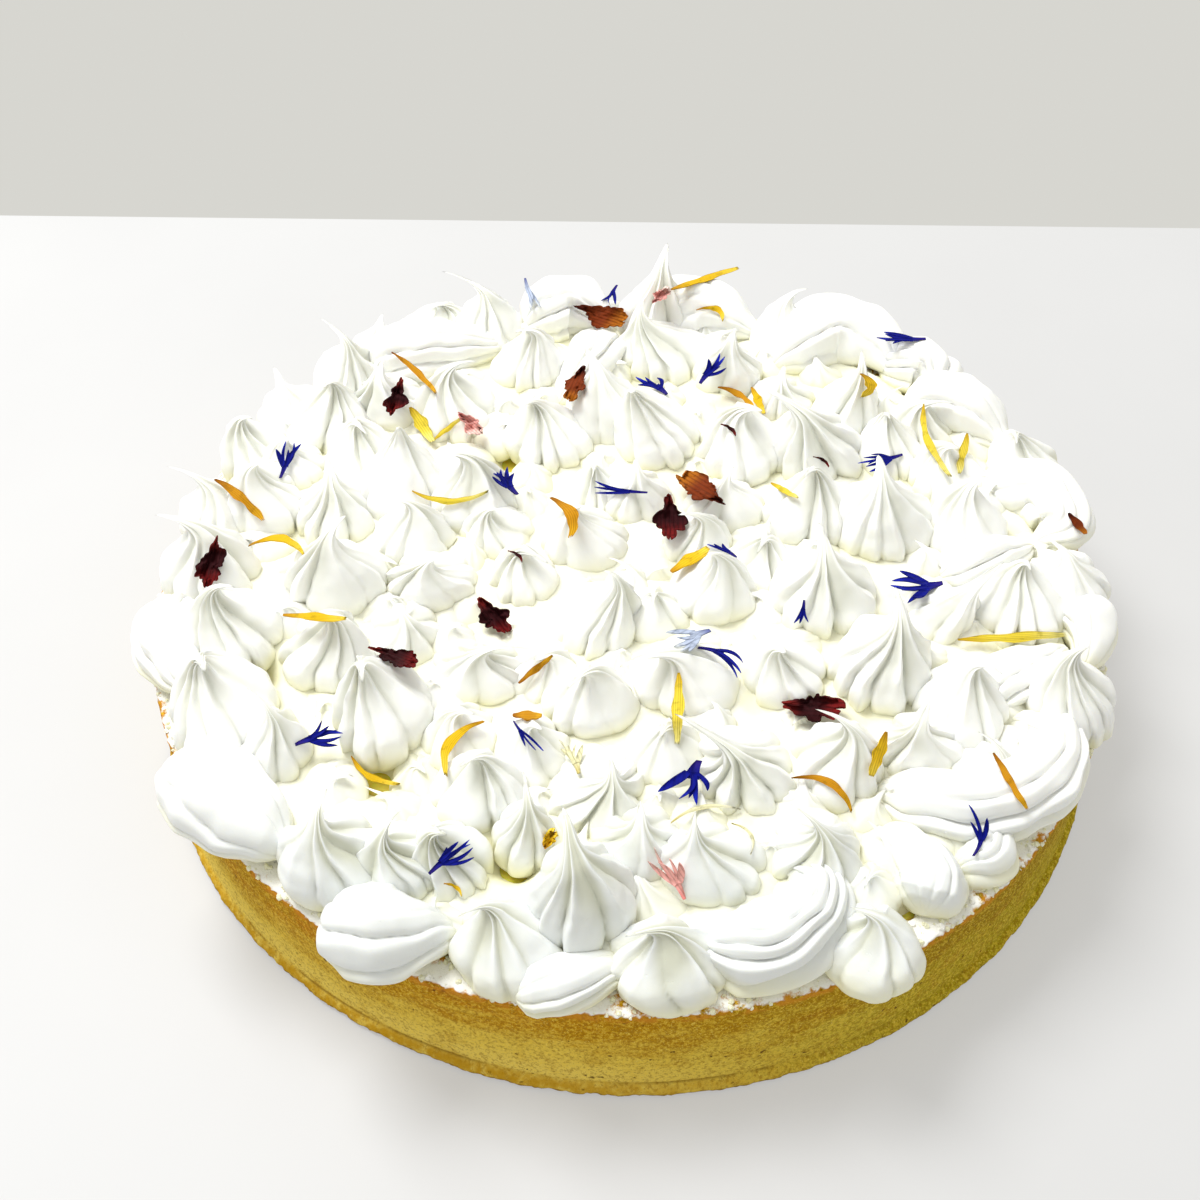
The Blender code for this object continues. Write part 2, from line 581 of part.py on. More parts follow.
def settled(trees, points, faces, up):
    """Move a petal towards the eye or back until it rests just free of everything, or give up."""
    shifted = [tuple(k + len(points) for k in f) for f in faces]

    def blocked(lift):
        here = [p + lift * up for p in points]
        here += [p - PETAL_GAP * up for p in here]
        body = BVHTree.FromPolygons(here, faces + shifted)
        return any(tree.overlap(body) for tree in trees)

    lift = 0.0
    while blocked(lift):
        lift += SETTLE_STEP
        if lift > PETAL_LIFT:
            return None
    while lift > -4 * MM and not blocked(lift - SETTLE_STEP):
        lift -= SETTLE_STEP
    return [p + lift * up for p in points]


def make_petals(meringue):
    """Every petal as its own thin solid, resting on the meringue."""
    graph = bpy.context.evaluated_depsgraph_get()
    ground = BVHTree.FromObject(meringue, graph)
    trees = [ground]
    materials = {name: finish_material("petal_" + name, colour, 0.6) for name, colour in PETAL_COLOURS.items()}
    tally = {}
    for row in PETALS:
        tally[row[1]] = tally.get(row[1], 0) + 1
        name = f"petal_{row[1]}_{tally[row[1]]}"
        for reach in PETAL_REACHES:
            points, faces, up = petal_body(ground, row, reach)
            points = settled(trees, points, faces, up)
            if points:
                break
        trees.append(BVHTree.FromPolygons(points, faces))
        link_object(name, mesh_of(name, points, faces), materials[row[1]])


def build():
    clear_scene()
    make_shell(finish_material("baked_pastry", (0.62, 0.40, 0.13), 0.75))
    make_curd(finish_material("lemon_curd", (0.80, 0.66, 0.10), 0.35))
    meringue = make_meringue(finish_material("white_meringue", (0.93, 0.93, 0.90), 0.5))
    make_petals(meringue)


build()
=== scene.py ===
# %% [markdown]
# # A lemon meringue tart
# A 26 cm tart: a straight shortcrust shell, a lemon filling, white meringue piped in star kisses and long
# ropes, and dried flower petals. Each cell below builds one piece of it or one finish, and says why it is
# built that way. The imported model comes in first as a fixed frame. It gives the places and the sizes.

# %% Load the frame
import math
import random

import bpy
import numpy as np
from mathutils import Matrix, Vector, noise
from mathutils.bvhtree import BVHTree


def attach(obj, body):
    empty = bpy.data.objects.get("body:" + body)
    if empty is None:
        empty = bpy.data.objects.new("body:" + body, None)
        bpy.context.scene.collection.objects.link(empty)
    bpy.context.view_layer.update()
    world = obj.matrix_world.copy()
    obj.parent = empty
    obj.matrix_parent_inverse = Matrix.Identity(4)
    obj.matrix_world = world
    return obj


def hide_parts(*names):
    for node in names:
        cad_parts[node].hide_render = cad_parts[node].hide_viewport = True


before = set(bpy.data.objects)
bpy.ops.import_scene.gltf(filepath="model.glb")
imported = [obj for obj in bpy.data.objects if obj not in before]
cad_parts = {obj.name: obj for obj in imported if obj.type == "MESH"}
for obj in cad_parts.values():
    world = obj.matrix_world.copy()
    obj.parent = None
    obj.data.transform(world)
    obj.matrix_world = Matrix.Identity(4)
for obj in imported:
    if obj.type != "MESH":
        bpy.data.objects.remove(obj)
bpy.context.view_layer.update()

MM = 0.001
print("nodes in the frame:", len(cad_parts))

# %% [markdown]
# ## Camera
# The camera looks down at about 48 degrees, from arm's length. Its place and its lens came from fitting a
# pinhole camera to the two edges of the round shell, so it is written as a place and three directions.

# %% Camera
EYE = Vector((-7.93, -279.85, 335.15)) * MM
RIGHT = Vector((0.99994, 0.00789, 0.00721))
UP = Vector((-0.01069, 0.73807, 0.67464))
AHEAD = Vector((0.0, 0.67468, -0.73811))
camera_data = bpy.data.cameras.new("photo_camera")
camera_data.sensor_width = 36.0
camera_data.lens = 45.0
camera_data.clip_start = 0.01
camera = bpy.data.objects.new("photo_camera", camera_data)
bpy.context.scene.collection.objects.link(camera)
placed = Matrix((RIGHT, UP, -AHEAD)).transposed().to_4x4()
placed.translation = EYE
camera.matrix_world = placed
bpy.context.scene.camera = camera
print("camera", round(EYE.length / MM), "mm from the middle of the tart's underside")

# %% [markdown]
# ## Table and light
# The tart stands on a white table that ends a little behind it, against a pale grey wall. The table is one
# plane with its back edge in the right place, and the wall is the world's even grey, so it never hides the
# tart from behind. The light is a large soft lamp from behind and to the left, and the grey world fills the
# shadows.

# %% Table and light
bpy.context.scene.view_settings.view_transform = "Standard"
TABLE_BACK = 0.228
TABLE_REACH = 3.0
corners = [(-TABLE_REACH, -TABLE_REACH, 0), (TABLE_REACH, -TABLE_REACH, 0)]
corners += [(TABLE_REACH, TABLE_BACK, 0), (-TABLE_REACH, TABLE_BACK, 0)]
table_mesh = bpy.data.meshes.new("table")
table_mesh.from_pydata(corners, [], [(0, 1, 2, 3)])
table = bpy.data.objects.new("table", table_mesh)
bpy.context.scene.collection.objects.link(table)

world = bpy.data.worlds.new("pale_wall")
bpy.context.scene.world = world
world.use_nodes = True
world.node_tree.nodes["Background"].inputs["Color"].default_value = (1.0, 0.99, 0.93, 1)
world.node_tree.nodes["Background"].inputs["Strength"].default_value = 0.68


def soft_lamp(name, place, aim, size, power):
    """A square area lamp at a place, turned to a point, both in metres."""
    lamp = bpy.data.lights.new(name, "AREA")
    lamp.size = size
    lamp.energy = power
    holder = bpy.data.objects.new(name, lamp)
    holder.location = place
    holder.rotation_euler = (Vector(aim) - Vector(place)).to_track_quat("-Z", "Y").to_euler()
    bpy.context.scene.collection.objects.link(holder)
    return holder


soft_lamp("window", (-0.46, 0.35, 1.08), (0, 0, 0.03), 0.60, 16.0)

# %% [markdown]
# ## Sums with sockets
# A node tree is easier to read as a sum than as a list of links. `Link` wraps one output socket and lets
# Python's own signs add the Math nodes. It serves the shaders and the Geometry Nodes alike. `put` adds any
# other node.


# %% Link and put
class Link:
    """An output socket with arithmetic on it."""

    def __init__(self, tree, socket):
        self.tree = tree
        self.socket = socket

    def math(self, operation, *others, swap=False):
        node = self.tree.nodes.new("ShaderNodeMath")
        node.operation = operation
        terms = (*others, self) if swap else (self, *others)
        for slot, term in zip(node.inputs, terms):
            plug(self.tree, slot, term)
        return Link(self.tree, node.outputs[0])

    def __add__(self, other):
        return self.math("ADD", other)

    __radd__ = __add__

    def __mul__(self, other):
        return self.math("MULTIPLY", other)

    def __sub__(self, other):
        return self.math("SUBTRACT", other)

    def __rsub__(self, other):
        return self.math("SUBTRACT", other, swap=True)

    def __truediv__(self, other):
        return self.math("DIVIDE", other)

    def __pow__(self, other):
        return self.math("POWER", other)

    def clamped(self):
        held = self.math("ADD", 0.0)
        held.socket.node.use_clamp = True
        return held

    def step(self, low, high):
        """0 below low, 1 above high, smooth between."""
        settings = {"interpolation_type": "SMOOTHSTEP"}
        return put(self.tree, "ShaderNodeMapRange", settings, {0: self, 1: low, 2: high})


def plug(tree, slot, value):
    if isinstance(value, Link):
        tree.links.new(value.socket, slot)
    else:
        slot.default_value = value


def put(tree, kind, settings=None, values=None, out=0):
    """Adds a node: its settings, then the values or links of its sockets. Gives one of its outputs."""
    node = tree.nodes.new(kind)
    for name, value in (settings or {}).items():
        setattr(node, name, value)
    for slot, value in (values or {}).items():
        plug(tree, node.inputs[slot], value)
    return Link(tree, node.outputs[out])


def blend_colours(tree, share, first, second):
    return put(tree, "ShaderNodeMix", {"data_type": "RGBA"}, {0: share, 6: first, 7: second}, out=2)


def new_finish(name, roughness, **sockets):
    """A Principled material and its tree. Keyword values go straight to the shader's sockets."""
    finish = bpy.data.materials.new(name)
    finish.use_nodes = True
    shader = finish.node_tree.nodes["Principled BSDF"]
    shader.inputs["Roughness"].default_value = roughness
    for socket, value in sockets.items():
        shader.inputs[socket.replace("_", " ")].default_value = value
    return finish, finish.node_tree, shader


def object_place(tree):
    return put(tree, "ShaderNodeTexCoord", out=3)


def parts_of(tree, vector):
    node = put(tree, "ShaderNodeSeparateXYZ", None, {0: vector}).socket.node
    return [Link(tree, socket) for socket in node.outputs]


def noise_at(tree, place, scale, detail=3.0, roughness=0.55, out=0):
    values = {"Vector": place, "Scale": scale, "Detail": detail, "Roughness": roughness}
    return put(tree, "ShaderNodeTexNoise", None, values, out)


def bumped(tree, shader, height, distance, strength=1.0):
    values = {"Height": height, "Distance": distance, "Strength": strength}
    plug(tree, shader.inputs["Normal"], put(tree, "ShaderNodeBump", None, values))


print("helpers ready")

# %% [markdown]
# ## Table finish
# Plain white laminate. It is lit almost to white, so a faint cloudiness in the colour is all it needs. A
# little even glow stands for the light that the rest of a white room throws on it, which keeps the tart's
# shadow pale.

# %% Table finish
glow = {"Emission_Color": (1.0, 1.0, 1.0, 1), "Emission_Strength": 0.38}
table_finish, tree, shader = new_finish("white_laminate", 0.55, **glow)
cloud = noise_at(tree, object_place(tree), 9.0)
greys = blend_colours(tree, cloud, (0.28, 0.28, 0.28, 1), (0.32, 0.32, 0.32, 1))
plug(tree, shader.inputs["Base Color"], greys)
table_mesh.materials.append(table_finish)
print("finish", table_finish.name)

# %% [markdown]
# ## Pastry shell
# The shell was pressed into a plain ring and baked, so its wall is straight but never quite smooth: a
# ragged lip at the foot where dough crept under the ring, a thin crease above it, a crumbly rim trimmed
# with a knife. A profile turned round the axis gives the form. Noise read at each point then moves it by
# tenths of a millimetre, more at the rim and at the foot. Geometry this fine keeps its relief in the mesh
# itself, which bump would not.

# %% Pastry shell form
FOOT_RADIUS = 130.0
WALL_RADIUS = 128.4
RIM_RADIUS = 127.5
RIM_HEIGHT = 35.0
WALL = 7.0
FLOOR = 6.0
RAGGED_SIDE = math.radians(-130)
CREASED_SIDE = math.radians(-68)


def smooth_step(x, low, high):
    t = np.clip((x - low) / (high - low), 0.0, 1.0)
    return t * t * (3 - 2 * t)


def shell_profile():
    """Radius and height in millimetres: under the foot, up the wall, over the rim, down and across."""
    inner = RIM_RADIUS - WALL
    rows = [(0, 0), (60, 0), (110, 0), (FOOT_RADIUS - 1.2, 0)]
    rows += [(FOOT_RADIUS - 0.5, 0.15), (FOOT_RADIUS - 0.1, 0.7), (FOOT_RADIUS, 1.4)]
    rows += [(FOOT_RADIUS - 0.1, 2.2), (FOOT_RADIUS - 0.45, 2.9), (FOOT_RADIUS - 0.85, 3.4)]
    rows += [(WALL_RADIUS + 0.35, 3.9), (WALL_RADIUS + 0.1, 4.4)]
    for height in np.linspace(5.0, RIM_HEIGHT - 1.6, 34):
        rows.append((WALL_RADIUS + (RIM_RADIUS - WALL_RADIUS) * (height - 5) / 28, height))
    for turn in np.linspace(0.2, 1.0, 6):
        angle = turn * math.pi / 2
        rows.append((RIM_RADIUS - 1.2 + 1.2 * math.cos(angle), RIM_HEIGHT - 1.2 + 1.2 * math.sin(angle)))
    rows += [(radius, RIM_HEIGHT) for radius in np.linspace(RIM_RADIUS - 1.9, inner + 1.2, 9)]
    rows += [(inner + 0.4, RIM_HEIGHT - 0.3), (inner, RIM_HEIGHT - 1.2)]
    return rows + [(inner, 20), (inner, FLOOR), (0, FLOOR)]


def pastry_shift(angle, radius, height):
    """How far a point of the shell moves outwards and upwards, in millimetres."""
    x, y = math.cos(angle), math.sin(angle)
    outside = radius > RIM_RADIUS - WALL + 0.5
    wide = noise.noise(Vector((x * 4, y * 4, height / 30)))
    grain = noise.noise(Vector((x * 130, y * 130, height * 1.0)))
    crumb = noise.noise(Vector((x * 300, y * 300, height * 2.4 + 9)))
    out = up = 0.0
    if outside and height > 0.1:
        out += 0.35 * wide + 0.10 * grain + 0.05 * crumb
        foot = float(smooth_step(height, 4.2, 2.2)) * (0.65 + 0.5 * math.cos(angle - RAGGED_SIDE))
        ring = float(smooth_step(math.cos(angle - CREASED_SIDE), 0.55, 0.95))
        out -= 0.6 * ring * math.exp(-(((height - 3.9) / 0.5) ** 2))
        lip = noise.noise(Vector((x * 26, y * 26, 2))) + 0.6 * noise.noise(Vector((x * 75, y * 75, 5)))
        out += foot * (0.38 * lip + 0.20 * crumb)
        edge = float(smooth_step(height, RIM_HEIGHT - 2.2, RIM_HEIGHT - 0.5))
        out += edge * (0.30 * grain + 0.30 * crumb)
        up += edge * (0.35 * noise.noise(Vector((x * 20, y * 20, 1))) + 0.30 * grain + 0.28 * crumb)
        up -= edge * 0.35 * (0.5 + 0.5 * noise.noise(Vector((x * 3, y * 3, 7))))
    return out, up


def turned_mesh(name, rows, around, shift=None):
    """A closed mesh turned from (radius, height) rows in millimetres. The end rows lie on the axis."""
    points = [(0, 0, rows[0][1] * MM)]
    for k in range(around):
        angle = math.tau * k / around
        for radius, height in rows[1:-1]:
            out, up = shift(angle, radius, height) if shift else (0, 0)
            reach = (radius + out) * MM
            points.append((reach * math.cos(angle), reach * math.sin(angle), (height + up) * MM))
    points.append((0, 0, rows[-1][1] * MM))
    inner = len(rows) - 2
    faces = []
    for k in range(around):
        here, there = 1 + k * inner, 1 + (k + 1) % around * inner
        faces.append((0, there, here))
        faces += [(here + j, there + j, there + j + 1, here + j + 1) for j in range(inner - 1)]
        faces.append((here + inner - 1, there + inner - 1, len(points) - 1))
    mesh = bpy.data.meshes.new(name)
    mesh.from_pydata(points, [], faces)
    mesh.shade_smooth()
    return mesh


def new_piece(name, mesh, finish, slot, *nodes):
    """Puts a mesh into the scene as a piece of the tart, in place of the named nodes if there are any."""
    piece = bpy.data.objects.new(name, mesh)
    bpy.context.scene.collection.objects.link(piece)
    if finish:
        mesh.materials.clear()
        mesh.materials.append(finish)
    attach(piece, "root")
    if nodes:
        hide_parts(*nodes)
    return piece


shell_mesh = turned_mesh("baked_shell", shell_profile(), 1000, pastry_shift)
print("shell faces", len(shell_mesh.polygons))

# %% [markdown]
# ## Pastry finish
# Baked shortcrust is sandy beige low on the wall, and golden brown and blotchy where it browned near the
# rim. It has pale specks of sugar, dark pinholes, and streaks that run round it where it met the ring. The
# side turned away from the lamp is painted a deeper tone, as painted shade. Low on the lamp side the wall
# is painted paler, as painted light thrown back by the white table, and the bottom of the wall, where it
# stands on the table, is painted dark brown as a painted contact shadow. The trimmed rim carries a thin
# white film of meringue.
# Each of these is a mask of its own, a share from 0 to 1, and the loop at the end lays their tones over one
# another in order.

# %% Pastry finish
pastry, tree, shader = new_finish("shortcrust", 0.85, Specular_IOR_Level=0.05)
place = object_place(tree)
side_x, _, height = [part / MM for part in parts_of(tree, place)]
streaky = put(tree, "ShaderNodeVectorMath", {"operation": "MULTIPLY"}, {0: place, 1: (1.0, 1.0, 3.2)})
patches = noise_at(tree, streaky, 45.0, 4.0)
sand = noise_at(tree, place, 1000.0, 3.0, 0.8)
grit = noise_at(tree, place, 2400.0, 2.0, 0.6)
# Painted shade: the pale and amber tones each turn deeper on the side turned away from the lamp.
painted_shade_side = side_x.step(-20.0, 95.0)
pale = blend_colours(tree, painted_shade_side, (0.74, 0.53, 0.075, 1), (0.385, 0.30, 0.008, 1))
amber = blend_colours(tree, painted_shade_side, (0.47, 0.235, 0.001, 1), (0.30, 0.19, 0.001, 1))
blotched = height + (patches - 0.5) * 34.0 + (noise_at(tree, streaky, 150.0) - 0.5) * 14.0
browned = blotched.step(12.0, 29.0)
# Painted light: the low wall on the lamp side is painted paler, for the light the white table throws back.
lit_low = (1.0 - height.step(5.0, 17.0)) * side_x.step(45.0, -20.0)
cloudy = noise_at(tree, place, 130.0, 4.0, 0.65).step(0.48, 0.68)
toasted = height.step(17.0, 34.0) * side_x.step(30.0, -75.0)
toasted = toasted * noise_at(tree, streaky, 70.0, 4.0).step(0.36, 0.58)
baked = patches.step(0.50, 0.66) * height.step(12.0, 33.0)
pinholes = noise_at(tree, place, 520.0, 1.0, 0.5).step(0.745, 0.78)
edge = height.step(31.2, 33.6) * noise_at(tree, place, 260.0, 3.0).step(0.40, 0.56)
foot = (1.0 - height.step(2.8, 5.2)) * side_x.step(60.0, -30.0)
foot = foot * noise_at(tree, place, 420.0, 4.0).step(0.24, 0.58)
line = (1.0 - ((height - 4.0).math("ABSOLUTE") / 0.45).clamped()) * side_x.step(90.0, 40.0)
line = line * noise_at(tree, place, 60.0).step(0.40, 0.52)
# Painted contact shadow: the lowest 1.7 mm of the wall, where it stands on the table, is painted dark
# brown.
under = 1.0 - height.step(0.4, 1.7)
film = height.step(34.15, 34.55) * noise_at(tree, place, 150.0, 5.0, 0.7).step(0.36, 0.47)
colour = blend_colours(tree, browned, pale, amber)
for share, tone in (
    (lit_low * 0.55, (0.92, 0.72, 0.17)),
    (cloudy * 0.5, (0.44, 0.24, 0.012)),
    (toasted * 0.8, (0.56, 0.20, 0.006)),
    (baked * 0.6, (0.36, 0.15, 0.002)),
    (sand.step(0.51, 0.59) * 0.48, (0.84, 0.59, 0.065)),
    ((1.0 - sand).step(0.51, 0.59) * 0.54, (0.28, 0.13, 0.006)),
    (grit.step(0.60, 0.66) * 0.55, (0.92, 0.72, 0.15)),
    (pinholes * 0.8, (0.10, 0.04, 0.010)),
    (edge * 0.75, (0.62, 0.245, 0.022)),
    (foot * 0.9, (0.54, 0.29, 0.008)),
    (line * 0.75, (0.20, 0.10, 0.008)),
    (under * 0.85, (0.12, 0.055, 0.008)),
    (film, (0.93, 0.92, 0.88)),
):
    colour = blend_colours(tree, share, colour, (*tone, 1))
plug(tree, shader.inputs["Base Color"], colour)
relief = sand * 0.5 + grit * 0.25 - pinholes * 1.2 + patches * 0.3
bumped(tree, shader, relief, 0.0009, 0.7)
new_piece("baked_shell", shell_mesh, pastry, "baked_pastry", "pastry_shell")
print("pastry done")

# %% [markdown]
# ## Lemon curd
# The filling only shows deep between the kisses, as wet olive-yellow glints. It is a turned disc with a
# slightly sunken top, glossy, and light travels a little way into it.

# %% Lemon curd
CURD_TOP = 33.5
inner = RIM_RADIUS - WALL - 0.3
curd_rows = [(0, FLOOR + 0.3), (inner - 0.6, FLOOR + 0.3), (inner, FLOOR + 1), (inner, CURD_TOP - 0.5)]
curd_rows += [(inner - 0.5, CURD_TOP - 0.1), (inner - 1.4, CURD_TOP)]
curd_rows += [(radius, CURD_TOP - 0.3) for radius in (115.0, 90.0, 60.0, 30.0)] + [(0, CURD_TOP - 0.3)]
curd_finish, tree, shader = new_finish("lemon_curd", 0.22, Subsurface_Weight=0.5, Subsurface_Scale=0.004)
wet = noise_at(tree, object_place(tree), 60.0)
yellows = blend_colours(tree, wet, (0.62, 0.50, 0.05, 1), (0.86, 0.70, 0.10, 1))
plug(tree, shader.inputs["Base Color"], yellows)
bumped(tree, shader, noise_at(tree, object_place(tree), 160.0), 0.0008, 0.4)
curd_mesh = turned_mesh("curd_filling", curd_rows, 256)
new_piece("curd_filling", curd_mesh, curd_finish, "lemon_curd", "lemon_curd")
print("curd done")

# %% [markdown]
# ## Meringue finish
# Raw meringue is white with a satin skin, and light spreads inside it, so its shadows are soft and its
# folds glow. Low down between the kisses the colour is painted cream-yellow, as painted shade with the
# curd's yellow light in it, and it turns to white with height. Towards the front, where the kisses face
# away from the lamp, the white is painted greyer as painted shade. The kisses carry how deep each point
# lies in a fold, as the attribute `crease`, and the folds are painted a soft grey shade by it, more
# strongly towards the front. Tiny bubbles roughen the skin.

# %% Meringue finish
spread = {"Subsurface_Weight": 0.3, "Subsurface_Scale": 0.0016, "Subsurface_Radius": (1.0, 0.92, 0.75)}
meringue_white, tree, shader = new_finish("soft_meringue", 0.36, **spread)
place = object_place(tree)
_, depth_y, height = [part / MM for part in parts_of(tree, place)]
# Painted shade: low down between the kisses the white is painted cream-yellow, shade with the curd's yellow
# light in it.
low_shade = (height + noise_at(tree, place, 90.0) * 6.0).step(38.0, 46.5)
# Painted shade: towards the front, where the kisses face away from the lamp, the white is painted greyer.
front_shade = depth_y.step(-55.0, -105.0)
white = blend_colours(tree, front_shade, (0.905, 0.91, 0.885, 1), (0.79, 0.81, 0.80, 1))
colour = blend_colours(tree, low_shade, (0.86, 0.84, 0.60, 1), white)
# Painted shade: the folds are painted grey by the depth kept in `crease`, more strongly towards the front.
crease = put(tree, "ShaderNodeAttribute", {"attribute_name": "crease"}, out=2)
fold_shade = crease.step(0.06, 0.34) * (front_shade * 0.40 + 0.58)
colour = blend_colours(tree, fold_shade, colour, (0.60, 0.61, 0.50, 1))
plug(tree, shader.inputs["Base Color"], colour)
bubbles = noise_at(tree, place, 1500.0, 2.0).step(0.66, 0.74)
skin = noise_at(tree, place, 260.0, 3.0)
bumped(tree, shader, skin * 0.6 - bubbles * 0.5, 0.00035, 0.35)
print("meringue finish done")

# %% [markdown]
# ## Where the kisses stand
# A star kiss is a bulb of meringue that narrows to a pulled tip as the nozzle lifts away. Each row is one
# kiss: x and y of its foot, radius, height, and how far its tip leans, in millimetres. The photo gives
# where each one stands. The rows come in four tables, from the middle out to the rim. Each table becomes
# one piece, apart from the rim's, which becomes two.

# %% Kiss rows
MIDDLE_KISSES = (
    (-9, -18, 11.5, 25, 6, 3), (22, -7, 11, 23, 1, 1), (6, -14, 10, 16, 0, -1), (-12, 13, 11.5, 22, -3, -1),
    (19, 12, 9.5, 20, -1, 0), (2, 30, 10.5, 18, 0, 1), (-10, 31, 8.5, 18, 0, 1), (-29, -1, 10, 18, 2, 0),
    (-39, -34, 11.5, 20, 6, -3), (-10, -45, 11, 24, -2, -2), (15, -38, 12, 23, -10, -2),
    (40, -34, 11, 21, -4, -3), (36, 4, 10, 18, 0, 0), (27, 27, 10.5, 20, 0, 0), (52, -8, 14, 27, -2, 3),
    (-37, 17, 10, 18, -1, -3), (-54, -2, 11.5, 20, 1, -6), (-24, -60, 10, 18, 0, 1),
    (8, -60, 10.5, 16, 0, 1), (-22, -36, 9.5, 16, 0, 0),
)
SECOND_KISSES = (
    (29, -65, 12.5, 21, -11, 1), (50, -64, 11.5, 24, 0, 4), (64, -33, 13.5, 30, 3, 3),
    (50, 21, 11.5, 28, 0, 3), (71, 20, 14, 28, -3, 2), (56, 50, 14, 29, -11, -1), (33, 50, 13, 27, 0, 0),
    (9, 56, 13, 28, -9, -1), (-23, 54, 12.5, 25, -7, -1), (-44, 26, 11.5, 26, -3, 4),
    (-65, 30, 12, 32, 1, 5), (-60, 12, 10.5, 22, 0, 2), (-79, -5, 12.5, 30, 1, 1),
    (-59, -22, 11, 18, 0, -1), (-78, -31, 11.5, 26, 2, 1), (-61, -50, 13, 30, -5, 1),
    (-42, -56, 10, 17, 0, 2), (-36, -73, 11, 22, -1, 2), (-9, -71, 13, 16, 5, -1),
    (80, -14, 9.5, 20, 13, 3),
)
THIRD_KISSES = (
    (-25, -85, 8, 20, 1, 5), (1, -86, 11, 18, 1, 0), (19, -92, 11.5, 22, -6, 2), (43, -89, 11.5, 20, -2, 2),
    (70, -57, 11, 20, 0, 0), (82, -46, 12, 26, 4, 2), (94, 17, 12, 24, 0, 6), (92, 40, 12, 19, -2, 2),
    (77, 50, 10.5, 22, -3, 3), (65, 67, 10.5, 27, 4, 3), (31, 85, 10, 25, 0, -1), (46, 74, 10.5, 17, 0, 0),
    (-6, 65, 12, 28, -5, 3), (-52, 66, 13, 24, 0, 5), (-72, 70, 11.5, 20, -3, 2), (-78, 46, 11.5, 20, 0, 2),
    (-82, 21, 11.5, 23, -1, 4), (-31, 87, 10.5, 24, 1, 2), (13, 95, 14, 24, -11, 4), (87, 62, 11, 18, 2, 0),
)
RIM_KISSES = (
    (-103, -24, 13, 28, -2, 1), (-113, -2, 13, 27, -5, 4), (-115, 21, 11, 22, -6, 3),
    (-103, 24, 12, 26, 0, 1), (-98, 42, 10.5, 18, 0, 1), (-108, 45, 11, 22, -4, 3), (-90, 58, 12, 24, 3, 5),
    (-101, 66, 11, 18, -3, 3), (-86, 80, 12, 26, -2, 5), (-76, 98, 11, 16, -2, 1),
    (-60, 107, 12.5, 17, 0, 1), (-44, 106, 12.5, 24, -6, 7), (8, 110, 12, 32, 3, 6),
    (50, 103, 11.5, 24, 1, 5), (116, 45, 12, 20, -6, 1), (119, -2, 12, 20, -4, 1),
    (103, -12, 13.5, 24, 0, 4), (111, -44, 11.5, 28, -3, 3), (87, -66, 11, 18, 0, 2),
    (53, -113, 11.5, 17, -1, 4), (8, -117, 12.5, 18, -4, 3), (-11, -103, 13, 31, -3, 5),
    (-27, -114, 12, 21, -7, 4), (-41, -92, 10, 20, -4, 1), (-53, -93, 10.5, 22, -3, 2),
    (-68, -92, 13, 25, -3, 3), (-87, -60, 10, 24, -1, 3), (-100, -51, 14.5, 29, -5, 4),
)
RIM_BACK, RIM_FRONT = RIM_KISSES[:15], RIM_KISSES[15:]
GROUPS = {
    "middle": MIDDLE_KISSES, "second": SECOND_KISSES, "third": THIRD_KISSES,
    "rim_back": RIM_BACK, "rim_front": RIM_FRONT,
}
print("kisses:", {name: len(rows) for name, rows in GROUPS.items()})

# %% [markdown]
# ## One rule for every kiss
# All kisses follow one rule, so Geometry Nodes make them. A flat grid is laid on every foot: one way round
# (`u`) and one way up (`v`). A drawn curve gives the radius on the way up, and the height rises evenly with
# `v`. The nozzle's teeth press lobes with sharp valleys between them, which is what the absolute value of a
# sine looks like.
# The tip leans and then curls over, and noise makes no two kisses alike. Each foot carries its own numbers
# as attributes.


# %% Kiss tree
def new_tree(name, *inputs):
    """A Geometry Nodes tree with a mesh input, named inputs (label, kind, value), and a link to each."""
    tree = bpy.data.node_groups.new(name, "GeometryNodeTree")
    for way in ("INPUT", "OUTPUT"):
        tree.interface.new_socket("Geometry", in_out=way, socket_type="NodeSocketGeometry")
    for label, kind, value in inputs + (("Finish", "Material", None),):
        socket = tree.interface.new_socket(label, in_out="INPUT", socket_type="NodeSocket" + kind)
        if value is not None:
            socket.default_value = value
    given = tree.nodes.new("NodeGroupInput")
    return tree, [Link(tree, given.outputs[k]) for k in range(len(inputs) + 2)]


def hand_out(tree, shape, finish):
    """Sets the finish on the shape and makes it the tree's result."""
    shape = put(tree, "GeometryNodeSetMaterial", None, {"Geometry": shape, "Material": finish})
    tree.links.new(shape.socket, tree.nodes.new("NodeGroupOutput").inputs[0])
    return tree


def drawn_curve(tree, value, stops):
    """A Float Curve through the given stops."""
    link = put(tree, "ShaderNodeFloatCurve", None, {"Value": value})
    curve = link.socket.node.mapping.curves[0]
    curve.points[0].location = stops[0]
    curve.points[1].location = stops[-1]
    for stop in stops[1:-1]:
        curve.points.new(*stop)
    link.socket.node.mapping.update()
    return link


def kept(tree, name, kind="FLOAT"):
    return put(tree, "GeometryNodeInputNamedAttribute", {"data_type": kind}, {"Name": name})


def joined(tree, x, y, z):
    return put(tree, "ShaderNodeCombineXYZ", None, {0: x, 1: y, 2: z})


def moved(tree, first, second):
    return put(tree, "ShaderNodeVectorMath", {"operation": "ADD"}, {0: first, 1: second})


RADIUS_STOPS = (
    (0.0, 0.0), (0.04, 0.78), (0.10, 0.94), (0.20, 1.0), (0.34, 0.97), (0.47, 0.83),
    (0.59, 0.60), (0.70, 0.355), (0.81, 0.165), (0.91, 0.075), (0.97, 0.04), (1.0, 0.0),
)


